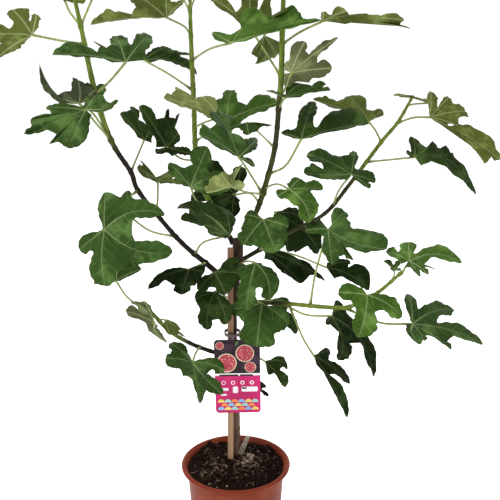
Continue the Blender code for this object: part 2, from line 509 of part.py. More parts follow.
def blade(base, outline):
    """A blade's points, its triangles, all facing up, and the two corners of the collar where the
    stalk joins it."""
    root = np.array(seen(*base))
    spots = [np.array(seen(*spot[:3])) - root for spot in outline]
    up = sum(np.cross(b, a) for a, b in zip(spots, spots[1:]))
    up /= np.linalg.norm(up)
    points, triangles = [root], []

    def corner(offset):
        points.append(root + offset)
        return len(points) - 1

    marks = [corner(spot) for spot in spots]
    for i in range(1, len(spots), 2):
        size = np.linalg.norm(spots[i])
        ahead = spots[i] / size
        bow = RIB_ARCH * size * up
        if len(outline[i]) > 5:
            middle = np.array(seen(*outline[i][5:])) - root
            bow = bow + middle - (middle @ ahead) * ahead
        rows = next(rows for least, rows in EDGE_POINTS if size >= least)
        shares = (np.arange(1, rows + 1) / rows) ** 0.9
        rib = [corner(ahead * size * t + bow * 4 * t * (1 - t)) for t in shares[:-1]] + [marks[i]]
        for side, width in zip((-1, 1), outline[i][3:5]):
            start = spots[i + side] @ ahead
            out = spots[i + side] - start * ahead
            height = np.linalg.norm(out)
            rim = [marks[i + side]]
            for t, h in lobe_margin(start / size, height / size, width / size, rows)[1:-1]:
                lift = bow * 4 * t * (1 - t) if t > 0 else 0
                rim.append(corner(size * (ahead * t + out / height * h) + lift))
            rim.append(marks[i])
            found = [(0, rib[0], rim[0])]
            for k in range(rows - 1):
                found.append((rib[k], rib[k + 1], rim[k]))
                found.append((rib[k + 1], rim[k + 1], rim[k]))
            triangles.extend(t[::-side] for t in found if len(set(t)) == 3)
    first, last = (spot - (spot @ up) * up for spot in (spots[0], spots[-1]))
    level = last / np.linalg.norm(last)
    beside = np.cross(up, level)
    gap = -math.atan2(first @ beside, first @ level) % (2 * math.pi)
    spread = min(math.radians(36), 0.42 * gap)
    neck = []
    for turn in (-gap / 2 - spread, -gap / 2 + spread):
        neck.append(corner(COLLAR * (level * math.cos(turn) + beside * math.sin(turn))))
    triangles.extend([(0, neck[1], marks[-1]), (0, neck[0], neck[1]), (0, marks[0], neck[0])])
    return np.array(points), triangles, neck


def stalk_rings(points, collar, along, across):
    """Square rings from inside the stem to just behind the blade's collar."""
    curve = [Vector(p) for p in smooth_curve([*points, collar - 5 * along, collar], 2)]
    rings = []
    for i in range(len(curve) - 2, -1, -1):
        ahead = (curve[i + 1] - curve[max(i - 1, 0)]).normalized()
        across = (across - across.dot(ahead) * ahead).normalized()
        a, b = across * STALK_RADIUS * 0.8, ahead.cross(across) * STALK_RADIUS * 0.8
        rings.append([curve[i] + a + b, curve[i] - a + b, curve[i] - a - b, curve[i] + a - b])
    return rings[::-1]


def add_leaf(bm, stalk, base, outline):
    """A leaf as one closed shape: a thin blade with both faces split alike, and its stalk."""
    points, triangles, neck = blade(base, outline)
    normals = np.zeros_like(points)
    for a, b, c in triangles:
        normal = np.cross(points[b] - points[a], points[c] - points[a])
        for corner in (a, b, c):
            normals[corner] += normal
    normals *= BLADE_THICKNESS / 2 / np.linalg.norm(normals, axis=1)[:, None]
    top = [bm.verts.new(p) for p in points + normals]
    under = [bm.verts.new(p) for p in points - normals]
    left, right = neck
    used = {(a, b) for t in triangles for a, b in zip(t, t[1:] + t[:1])} | {(right, left)}
    for a, b, c in triangles:
        bm.faces.new((top[a], top[b], top[c]))
        bm.faces.new((under[a], under[c], under[b]))
    for a, b in sorted(used - {(right, left)}):
        if (b, a) not in used:
            bm.faces.new((top[a], under[a], under[b]))
            bm.faces.new((top[a], under[b], top[b]))
    collar = Vector((points[left] + points[right]) / 2)
    across = Vector(points[left] - points[right]).normalized()
    along = (Vector(points[0]) - collar).normalized()
    rings = stalk_rings([seen(*p) for p in stalk], collar, along, across)
    loops = [[bm.verts.new(p) for p in ring] for ring in rings]
    loops.append([top[left], top[right], under[right], under[left]])
    bm.faces.new(loops[0][::-1])
    for low, high in zip(loops, loops[1:]):
        for k in range(4):
            n = (k + 1) % 4
            bm.faces.new((low[k], low[n], high[n]))
            bm.faces.new((low[k], high[n], high[k]))


def apply_modifiers(obj):
    """Replace the object's mesh with its evaluated one."""
    graph = bpy.context.evaluated_depsgraph_get()
    mesh = bpy.data.meshes.new_from_object(obj.evaluated_get(graph))
    obj.modifiers.clear()
    obj.data = mesh


def cut(obj, cutter, solver="EXACT"):
    """Cut one closed shape out of an object, and remove the cutter."""
    cutter.hide_render = True
    cutter.display_type = "WIRE"
    boolean = obj.modifiers.new("cut", "BOOLEAN")
    boolean.operation = "DIFFERENCE"
    boolean.solver = solver
    boolean.object = cutter
    apply_modifiers(obj)
    bpy.data.objects.remove(cutter)


def join_all(obj, pieces):
    """Union an object with every object of a collection, and remove those."""
    union = obj.modifiers.new("join", "BOOLEAN")
    union.operation = "UNION"
    union.solver = "MANIFOLD"
    union.operand_type = "COLLECTION"
    union.collection = pieces
    apply_modifiers(obj)
    for piece in list(pieces.objects):
        bpy.data.objects.remove(piece)
    bpy.data.collections.remove(pieces)


def build_leafy_stem(name, mat, sides=6, extras=()):
    """A stem with its stalks and leaves as one body."""
    pieces = bpy.data.collections.new(name + " pieces")
    bpy.context.scene.collection.children.link(pieces)
    bm = bmesh.new()
    add_stem(bm, name, sides=sides)
    stem = add_object(name, bm, mat)
    for label, stalk, base, *shape in LEAVES[name]:
        bm = bmesh.new()
        add_leaf(bm, stalk, base, leaf_outline(label, base, *shape))
        add_object("leaf " + label, bm, collection=pieces)
    for path, radii in extras:
        bm = bmesh.new()
        add_loft(bm, tube_rings(path, radii, 8))
        add_object("stub", bm, collection=pieces)
    join_all(stem, pieces)
    stem.data.shade_smooth()
    stem.data.set_sharp_from_angle(angle=math.radians(40))
    return stem


def cut_by_stem(obj, name, part=slice(None)):
    """Leave a fine gap round another stem."""
    bm = bmesh.new()
    add_stem(bm, name, extra=GAP, sides=12, part=part)
    cut(obj, add_object("cutter", bm), "MANIFOLD")


def turned(bm, profile, sides=POT_SIDES):
    """Spin a profile of (radius, height) that starts and ends on the pot's axis."""
    rim = [bm.verts.new((r, 0, z)) for r, z in profile]
    edges = [bm.edges.new((a, b)) for a, b in zip(rim, rim[1:])]
    bmesh.ops.spin(bm, geom=rim + edges, axis=(0, 0, 1), cent=(0, 0, 0), dvec=(0, 0, 0),
                   angle=2 * math.pi, steps=sides, use_merge=True, use_duplicate=False)
    bmesh.ops.remove_doubles(bm, verts=bm.verts, dist=0.0001)
    bmesh.ops.recalc_face_normals(bm, faces=bm.faces)


def pot_inner_radius(height):
    """The pot's inner radius at a height."""
    neck = POT_HEIGHT - RIM_DEPTH
    if height < neck:
        return POT_FOOT_RADIUS + (POT_TOP_RADIUS - POT_FOOT_RADIUS) * height / neck - POT_WALL
    lip = (height - neck) / RIM_DEPTH
    return POT_TOP_RADIUS - POT_WALL + 4.8 * lip


def build_pot():
    neck = POT_HEIGHT - RIM_DEPTH
    outer = [(POT_FOOT_RADIUS - 2, 0), (POT_FOOT_RADIUS, 1.5), (POT_TOP_RADIUS - 1.6, neck - 10),
             (POT_TOP_RADIUS - 0.4, neck - 8.8), (POT_TOP_RADIUS, neck),
             (RIM_RADIUS - 3, neck + 0.5), (RIM_RADIUS - 0.5, neck + 2),
             (RIM_RADIUS, POT_HEIGHT - 3), (RIM_RADIUS - 1, POT_HEIGHT - 1), (RIM_RADIUS - 3.4, POT_HEIGHT)]
    inner = [(pot_inner_radius(POT_HEIGHT) + 1.5, POT_HEIGHT - 0.4),
             (pot_inner_radius(POT_HEIGHT - 2), POT_HEIGHT - 2), (pot_inner_radius(neck), neck),
             (pot_inner_radius(POT_FLOOR), POT_FLOOR)]
    bm = bmesh.new()
    turned(bm, [(0, 0)] + outer + inner + [(0, POT_FLOOR)])
    pot = add_object("pot", bm, material("terracotta plastic", (0.30, 0.085, 0.045), 0.42))
    bm = bmesh.new()
    for k in range(DRAIN_HOLES):
        turn = 2 * math.pi * (k + 0.5) / DRAIN_HOLES
        spot = Vector((math.cos(turn), math.sin(turn), 0)) * DRAIN_RING_RADIUS
        rings = [[spot + Vector((DRAIN_HOLE_RADIUS * math.cos(t), DRAIN_HOLE_RADIUS * math.sin(t), z))
                  for t in np.linspace(0, 2 * math.pi, 10, endpoint=False)] for z in (-2, POT_FLOOR + 2)]
        add_loft(bm, rings)
    cut(pot, add_object("cutter", bm))
    pot.data.shade_smooth()
    pot.data.set_sharp_from_angle(angle=math.radians(35))
    return pot


def soil_height(x, y):
    """The soil's surface: a low mound with lumps."""
    reach = math.hypot(x, y) / POT_TOP_RADIUS
    mound = SOIL_MOUND * (1 - reach ** 2) ** 2 if reach < 1 else 0
    lumps = (math.sin(0.21 * x + 1.3) * math.sin(0.19 * y + 0.4) + 0.7 * math.sin(0.43 * x - 0.31 * y)
             + 0.5 * math.sin(0.57 * y + 0.37 * x + 2))
    return SOIL_EDGE_HEIGHT + mound + SOIL_LUMP * lumps * 0.6


def build_soil(trunk_name):
    rings, bm = [], bmesh.new()
    turns = [2 * math.pi * k / POT_SIDES for k in range(POT_SIDES)]
    shrink = math.cos(math.pi / POT_SIDES)
    for height in (POT_FLOOR + GAP, POT_HEIGHT - RIM_DEPTH - 4):
        radius = (pot_inner_radius(height) - GAP) * shrink
        rings.append([(radius * math.cos(t), radius * math.sin(t), height) for t in turns])
    edge = pot_inner_radius(POT_HEIGHT - RIM_DEPTH - 4) * shrink - GAP
    for share in (1, 0.87, 0.72, 0.56, 0.4, 0.22):
        radius = edge * share
        row = [(radius * math.cos(t), radius * math.sin(t)) for t in turns]
        rings.append([(x, y, soil_height(x, y)) for x, y in row])
    loops = [[bm.verts.new(p) for p in ring] for ring in rings]
    for low, high in zip(loops, loops[1:]):
        for k in range(POT_SIDES):
            n = (k + 1) % POT_SIDES
            bm.faces.new((low[k], low[n], high[n], high[k]))
    bm.faces.new(loops[0][::-1])
    middle = bm.verts.new((0, 0, soil_height(0, 0)))
    for k in range(POT_SIDES):
        bm.faces.new((loops[-1][k], loops[-1][(k + 1) % POT_SIDES], middle))
    soil = add_object("potting_soil", bm, material("potting soil", (0.022, 0.012, 0.007), 0.95))
    cut_by_stem(soil, trunk_name, part=slice(0, 5))
    bm = bmesh.new()
    add_stake(bm, STAKE_SIDE + 2 * GAP, GAP)
    cut(soil, add_object("cutter", bm))
    return soil


def add_stake(bm, side, deeper=0.0):
    """A square stick from its foot in the soil to its top."""
    foot, top = Vector(STAKE_FOOT), Vector(STAKE_TOP)
    foot = foot - (top - foot).normalized() * deeper
    half = side / 2
    corners = [(-half, -half), (half, -half), (half, half), (-half, half)]
    add_loft(bm, [[end + Vector((x, y, 0)) for x, y in corners] for end in (foot, top)])


def build_stake():
    bm = bmesh.new()
    add_stake(bm, STAKE_SIDE)
    stake = add_object("stake", bm, material("stake wood", (0.52, 0.36, 0.20), 0.7))
    bevel = stake.modifiers.new("worn edges", "BEVEL")
    bevel.width = 0.8 * MM
    bevel.segments = 2
    return stake


def build_tag():
    """Tag, strap and loop in one stiff sheet."""
    half_width, half_height, corners = TAG_WIDTH / 2, TAG_HEIGHT / 2, []
    for sx, sz, start in ((1, 1, 0), (-1, 1, 90), (-1, -1, 180), (1, -1, 270)):
        for step in range(5):
            t = math.radians(start + 22.5 * step)
            corners.append(((half_width - TAG_CORNER) * sx + TAG_CORNER * math.cos(t),
                            (half_height - TAG_CORNER) * sz + TAG_CORNER * math.sin(t)))
    lean = math.radians(TAG_LEAN)
    middle, rings, bm = Vector(TAG_MIDDLE), [], bmesh.new()
    for y in (TAG_THICKNESS / 2, -TAG_THICKNESS / 2):
        rings.append([middle + Vector((x * math.cos(lean) - z * math.sin(lean), y,
                                       x * math.sin(lean) + z * math.cos(lean))) for x, z in corners])
    add_loft(bm, rings)
    bmesh.ops.recalc_face_normals(bm, faces=bm.faces)
    tag = add_object("plant_tag", bm, material("printed plastic", (0.75, 0.08, 0.28), 0.35))
    loop, height = Vector(LOOP_MIDDLE), STRAP_WIDTH / 2
    pieces = bpy.data.collections.new("tag pieces")
    bpy.context.scene.collection.children.link(pieces)
    bm = bmesh.new()
    sides, wall = 28, TAG_THICKNESS
    turns = [2 * math.pi * k / sides for k in range(sides)]
    rows = []
    for grow, z in ((0, -height), (wall, -height), (wall, height), (0, height)):
        wide, deep = LOOP_HALF_WIDTH + grow, LOOP_HALF_DEPTH + grow
        rows.append([bm.verts.new(loop + Vector((wide * math.cos(t), deep * math.sin(t), z))) for t in turns])
    for a, b in zip(rows, rows[1:] + rows[:1]):
        for k in range(sides):
            n = (k + 1) % sides
            bm.faces.new((a[k], a[n], b[n], b[k]))
    bmesh.ops.recalc_face_normals(bm, faces=bm.faces)
    add_object("loop", bm, collection=pieces)
    bm = bmesh.new()
    front = loop.y - LOOP_HALF_DEPTH - wall
    low, high = TAG_MIDDLE[2] + half_height - 8, loop.z + height - 1
    bmesh.ops.create_cube(bm, size=1)
    bmesh.ops.scale(bm, vec=(STRAP_WIDTH, wall - 0.1, high - low), verts=bm.verts)
    bmesh.ops.translate(bm, vec=(loop.x + 1, front + wall / 2 + 0.03, (low + high) / 2), verts=bm.verts)
    add_object("strap", bm, collection=pieces)
    join_all(tag, pieces)
    return tag


for old in list(bpy.data.objects):
    bpy.data.objects.remove(old)

build_pot()
build_soil("trunk")
build_stake()
build_tag()

stub = [Vector((8, 13, 170)), Vector((13, 10, 178)), Vector((18, 8, 188)), Vector((21, 7, 198))]
build_leafy_stem("trunk", material("fig bark", (0.10, 0.075, 0.05), 0.85), sides=12,
                 extras=[(stub, (5.5, 4.6, 4.2, 4.0))])
LEAF_COLOURS = {
    "stem_left": (0.060, 0.105, 0.035),
    "stem_centre_left": (0.075, 0.130, 0.040),
    "stem_centre_right": (0.065, 0.110, 0.036),
    "stem_right": (0.070, 0.115, 0.038),
    "stem_low_right": (0.085, 0.150, 0.040),
    "stem_low_left": (0.060, 0.100, 0.034),
}
for stem_name, colour in LEAF_COLOURS.items():
    leafy = build_leafy_stem(stem_name, material(stem_name + " leaves", colour, 0.5))
    cut_by_stem(leafy, "trunk")
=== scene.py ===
# %% [markdown]
# # A young potted fig
# This lesson dresses the construction model of a fig tree in a nursery pot: pot, soil, stake, tag,
# trunk and six leafy stems. The construction model is loaded as a fixed frame, and every piece
# made here stands exactly where its solid stands. The leaves carry most of the look, so most of
# the work goes into their cut edges, their veins and their two different faces.

# %% Load the frame
import math
import random

import bmesh
import bpy
import numpy as np
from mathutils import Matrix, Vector, noise


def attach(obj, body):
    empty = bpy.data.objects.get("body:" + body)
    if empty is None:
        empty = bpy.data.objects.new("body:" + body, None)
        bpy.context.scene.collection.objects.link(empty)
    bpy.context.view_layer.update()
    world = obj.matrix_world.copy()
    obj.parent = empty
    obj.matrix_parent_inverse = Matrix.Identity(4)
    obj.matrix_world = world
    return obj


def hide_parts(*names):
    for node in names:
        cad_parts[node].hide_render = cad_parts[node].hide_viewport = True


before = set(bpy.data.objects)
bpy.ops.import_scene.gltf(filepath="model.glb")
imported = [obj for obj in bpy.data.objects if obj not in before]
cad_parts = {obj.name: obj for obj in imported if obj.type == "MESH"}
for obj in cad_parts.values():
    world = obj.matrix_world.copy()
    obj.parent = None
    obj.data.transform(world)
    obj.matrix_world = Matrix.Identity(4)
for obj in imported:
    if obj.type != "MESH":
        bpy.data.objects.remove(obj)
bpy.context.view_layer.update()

MM = 0.001
bpy.ops.object.select_all(action="DESELECT")
print("frame nodes:", sorted(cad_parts))

# %% [markdown]
# ## Small tools
# Every finish below is a node tree. Written out by hand such trees grow long, so a few helpers make
# one node each. What they return are values that Python's own signs add, subtract, multiply and
# divide, and each sign makes one Math node. A helper takes a plain number or a colour as well. The
# helpers for objects do what the menus of the 3D view do.

# %% Node helpers
class Value:
    """The output of a node. A sign between it and a number or another value makes a Math node."""

    def __init__(self, socket):
        self.socket = socket

    def __add__(self, other):
        return calc("ADD", self, other)

    def __sub__(self, other):
        return calc("SUBTRACT", self, other)

    def __rsub__(self, other):
        return calc("SUBTRACT", other, self)

    def __mul__(self, other):
        return calc("MULTIPLY", self, other)

    def __truediv__(self, other):
        return calc("DIVIDE", self, other)


def feed(socket, value):
    """Link a value to a socket, or set the socket to a plain number or colour."""
    if isinstance(value, Value):
        socket.id_data.links.new(value.socket, socket)
    elif isinstance(value, tuple) and len(value) == 3 and socket.type == "RGBA":
        socket.default_value = (*value, 1)
    else:
        socket.default_value = value


def add_node(near, kind, output, inputs, **settings):
    """Add a node to the tree of a value, feed its inputs and return one of its outputs."""
    made = near.socket.id_data.nodes.new("ShaderNode" + kind)
    for key, setting in settings.items():
        setattr(made, key, setting)
    for key, value in inputs.items():
        feed(made.inputs[key], value)
    return Value(made.outputs[output])


def calc(operation, *values):
    """One Math node."""
    near = next(value for value in values if isinstance(value, Value))
    return add_node(near, "Math", 0, dict(enumerate(values)), operation=operation)


def fade(value, start, end, low=0.0, high=1.0):
    """Low before start and high after end, smooth between. A start above the end turns it round."""
    first, last = sorted([(start, low), (end, high)])
    return add_node(value, "MapRange", "Result",
                    {"Value": value, "From Min": first[0], "To Min": first[1],
                     "From Max": last[0], "To Max": last[1]}, interpolation_type="SMOOTHSTEP")


def tint(factor, first, second):
    """Mix two colours."""
    return add_node(factor, "Mix", 2, {0: factor, 6: first, 7: second}, data_type="RGBA")


def speckle(place, scale, detail=3.0, roughness=0.55):
    """A noise pattern, from 0 to 1."""
    return add_node(place, "TexNoise", "Fac",
                    {"Vector": place, "Scale": scale, "Detail": detail, "Roughness": roughness})


def cells(place, scale, feature="F1"):
    """The distance to the nearest cell centre, or to the nearest cell edge."""
    return add_node(place, "TexVoronoi", "Distance", {"Vector": place, "Scale": scale}, feature=feature)


def stretched(place, *scale):
    """A place with each axis scaled on its own."""
    return add_node(place, "Mapping", "Vector", {"Vector": place, "Scale": scale})


def axis(place, k):
    """One coordinate of a place: 0 for x, 1 for y and 2 for z."""
    return add_node(place, "SeparateXYZ", k, {0: place})


def relief(height, distance, strength=0.5):
    """A bump from a height between 0 and 1."""
    return add_node(height, "Bump", "Normal",
                    {"Strength": strength, "Distance": distance, "Height": height})


def paint(material, **inputs):
    """Feed sockets of a material's Principled shader, with _ for each blank in a name."""
    shader = material.node_tree.nodes["Principled BSDF"]
    for name, value in inputs.items():
        feed(shader.inputs[name.replace("_", " ")], value)


def new_finish(name, specular, **inputs):
    """A new material, and the place in its object's own coordinates, in metres."""
    material = bpy.data.materials.new(name)
    material.use_nodes = True
    paint(material, Specular_IOR_Level=specular, **inputs)
    return material, Value(material.node_tree.nodes.new("ShaderNodeTexCoord").outputs["Object"])


def two_tone(name, specular, roughness, deep, light, scale, detail=4, span=None):
    """A material that noise mixes from two colours. A span makes the step between them sharper."""
    material, place = new_finish(name, specular, Roughness=roughness)
    mix = speckle(place, scale, detail)
    paint(material, Base_Color=tint(fade(mix, *span) if span else mix, deep, light))
    return material


# %% Object helpers
triangle_counts = {}


def put(name, data):
    """A new object in the scene."""
    made = bpy.data.objects.new(name, data)
    bpy.context.scene.collection.objects.link(made)
    return made


def add_box(name, size, middle=(0, 0, 0)):
    """A box from its size and its middle, in millimetres."""
    bpy.ops.mesh.primitive_cube_add(size=1, location=[c * MM for c in middle])
    box = bpy.context.active_object
    box.name = name
    box.scale = [c * MM for c in size]
    bpy.ops.object.transform_apply(location=True, scale=True)
    return box


def cut_across(piece, heights):
    """Cut a mesh across at heights in millimetres, as with the Bisect tool."""
    bpy.context.view_layer.objects.active = piece
    bpy.ops.object.mode_set(mode="EDIT")
    for height in heights:
        bpy.ops.mesh.select_all(action="SELECT")
        bpy.ops.mesh.bisect(plane_co=(0, 0, height * MM), plane_no=(0, 0, 1))
    bpy.ops.mesh.select_all(action="DESELECT")
    bpy.ops.object.mode_set(mode="OBJECT")


def join(main, *others):
    """Join objects into the first one, which stays selected."""
    for piece in (main, *others):
        piece.select_set(True)
    bpy.context.view_layer.objects.active = main
    bpy.ops.object.join()


def apply_modifier(piece, modifier):
    """Apply one modifier as from the modifier menu."""
    bpy.context.view_layer.objects.active = piece
    piece.select_set(True)
    bpy.ops.object.modifier_apply(modifier=modifier.name)
    piece.select_set(False)


def bevel(piece, name, width, segments, limit="ANGLE"):
    """Round a piece's edges by a width in millimetres."""
    rounding = piece.modifiers.new(name, "BEVEL")
    rounding.width = width * MM
    rounding.segments = segments
    rounding.limit_method = limit
    apply_modifier(piece, rounding)


def smooth(piece, angle):
    """Shade a piece smooth, but for edges sharper than an angle in degrees."""
    piece.data.shade_smooth()
    piece.data.set_sharp_from_angle(angle=math.radians(angle))


def finish_piece(piece, node, *replaced):
    """Report a piece's size, let it ride, and hide the solids it replaces; its node is not used."""
    piece.data.calc_loop_triangles()
    triangle_counts[piece.name] = len(piece.data.loop_triangles)
    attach(piece, "root")
    if replaced:
        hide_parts(*replaced)
    piece.select_set(False)
    print(f"{piece.name}: {triangle_counts[piece.name]} triangles")


# %% [markdown]
# ## The studio
# The camera stands 1.1 m in front of the trunk, a little above the middle of the crown, and looks
# down by 13.6 degrees. The tree stands on a pale floor in a room whose far wall is bright white and
# whose near side is dimmer. So the leaves stay deep green, because little of the room shines back
# from them, and large lamps shape them: a strong one high on the left and weaker ones on the right
# and behind. The Standard view keeps white as white, which suits a product picture.

# %% Camera
CAMERA_PLACE = Vector((0.025, -1.100, 0.803))
CAMERA_DOWN = 13.6

camera_data = bpy.data.cameras.new("camera")
camera_data.lens = 50
camera_data.sensor_width = 36
camera = put("camera", camera_data)
camera.location = CAMERA_PLACE
camera.rotation_euler = (math.radians(90 - CAMERA_DOWN), 0, 0)
bpy.context.scene.camera = camera

# %% Room, lamps and floor
FAR_WALL = 1.08
NEAR_SIDE = 0.42
WALL_BLEND = 0.25
FLOOR_SIZE = 30
FLOOR_GLOW = 0.55
# Each lamp: name, place, the height on the trunk that it aims at, size and power
LAMPS = (("high left lamp", (-1.3, -1.3, 2.3), 0.5, 1.1, 52),
         ("right lamp", (1.9, -1.2, 1.2), 0.5, 1.2, 14),
         ("back lamp", (0.4, 1.8, 2.2), 0.6, 1.4, 14))

bpy.context.scene.view_settings.view_transform = "Standard"
world = bpy.data.worlds.new("white room")
world.use_nodes = True
background = world.node_tree.nodes["Background"]
direction = Value(world.node_tree.nodes.new("ShaderNodeTexCoord").outputs["Generated"])
feed(background.inputs["Strength"],
     fade(axis(direction, 1), -WALL_BLEND, WALL_BLEND, NEAR_SIDE, FAR_WALL))
feed(background.inputs["Color"], (1, 1, 1))
bpy.context.scene.world = world

for name, place, aim, size, power in LAMPS:
    data = bpy.data.lights.new(name, "AREA")
    data.size = size
    data.energy = power
    lamp = put(name, data)
    lamp.location = place
    lamp.rotation_euler = (Vector((0, 0, aim)) - Vector(place)).to_track_quat("-Z", "Y").to_euler()

bpy.ops.mesh.primitive_plane_add(size=FLOOR_SIZE, location=(0, 0, -0.0005))
floor = bpy.context.active_object
floor.name = "floor"
bpy.ops.object.transform_apply(location=True)
floor.select_set(False)
floor_finish, _ = new_finish("pale floor", 0.1, Roughness=0.9, Base_Color=(0.90, 0.90, 0.90),
                             Emission_Color=(1.0, 1.0, 1.0), Emission_Strength=FLOOR_GLOW)
floor.data.materials.append(floor_finish)

# %% [markdown]
# ## How the tree is described
# The stems and leaves are written as a few points each, as a botanist would sketch them: x to the
# right and z up on the plane of the trunk, as the camera sees them, and y for how far they lie
# behind that plane. `seen` turns such a point into a real one. A smooth curve through the points
# gives the stem, so a handful of numbers describes each.

# %% The camera's reading of a point, and smooth curves
EYE = CAMERA_PLACE / MM


def seen(x, z, y):
    """The point y behind the trunk's plane that is seen over (x, z) of that plane."""
    return EYE + (Vector((x, 0, z)) - EYE) * (1 - y / EYE.y)


def smooth_curve(points, steps):
    """A Catmull-Rom curve through points, with the given steps to each span."""
    p = np.asarray(points, float)
    ends = np.vstack([2 * p[0] - p[1], p, 2 * p[-1] - p[-2]])
    curve = []
    for i in range(1, len(ends) - 2):
        a, b, c, d = ends[i - 1:i + 3]
        for k in range(steps):
            t = k / steps
            curve.append(0.5 * (2 * b + (c - a) * t + (2 * a - 5 * b + 4 * c - d) * t ** 2
                                + (3 * b - a - 3 * c + d) * t ** 3))
    curve.append(p[-1])
    return np.array(curve)


# %% The stems: x, z, y and radius from root to tip, in millimetres
STEMS = {
    "trunk": [
        (2, 88, 15, 6), (2, 138, 15, 7.5), (2, 160, 15, 9), (2, 174, 15, 7.6), (2, 194, 15, 6.6),
        (1, 250, 15, 6.2), (-2, 330, 15, 6), (-3, 400, 15, 5.8), (0, 470, 15, 6.4), (4, 505, 17, 7.8),
        (5, 535, 18, 9.2), (5, 556, 17, 8),
    ],
    "stem_left": [
        (0, 465, 16, 4), (-31, 500, 11, 4.6), (-82, 545, -8, 4), (-119, 588, -24, 3.6),
        (-154, 635, -41, 3.6), (-164, 664, -49, 3.6), (-190, 707, -59, 3.8), (-207, 756, -70, 4),
        (-219, 812, -83, 3.8), (-228, 868, -96, 3.2), (-236, 914, -107, 2.8), (-243, 955, -117, 2.2),
    ],
    "stem_centre_left": [
        (-2, 548, 20, 4), (-25, 590, 41, 4.2), (-55, 650, 66, 4.2), (-61, 700, 84, 4.2),
        (-62, 768, 106, 4.2), (-64, 836, 129, 4), (-65, 900, 150, 3.2), (-65, 918, 156, 2.4),
    ],
    "stem_centre_right": [
        (9, 546, 13, 4), (35, 600, -3, 4.2), (50, 645, -12, 4.2), (64, 702, -24, 4), (70, 770, -37, 4),
        (73, 812, -45, 4.2), (74, 880, -48, 3.8), (76, 944, -49, 3.2), (80, 990, -51, 2.2),
    ],
    "stem_right": [
        (3, 515, 17, 3.5), (40, 537, 34, 3.8), (90, 567, 57, 3.6), (145, 597, 84, 3.4),
        (184, 645, 104, 3.4), (231, 711, 128, 3.4), (255, 741, 141, 3), (273, 774, 150, 2.2),
    ],
    "stem_low_right": [
        (0, 453, 13, 3), (30, 448, -3, 3.4), (88, 445, -36, 3.4), (141, 440, -65, 3.3),
        (183, 438, -87, 3.2), (205, 447, -99, 3), (237, 465, -116, 2.8), (270, 495, -133, 2.2),
    ],
    "stem_low_left": [
        (0, 349, 16, 3.2), (-38, 360, 12, 3.6), (-73, 374, -20, 3.4), (-110, 397, -58, 3.2),
        (-135, 425, -74, 3), (-153, 441, -86, 2.5),
    ],
}
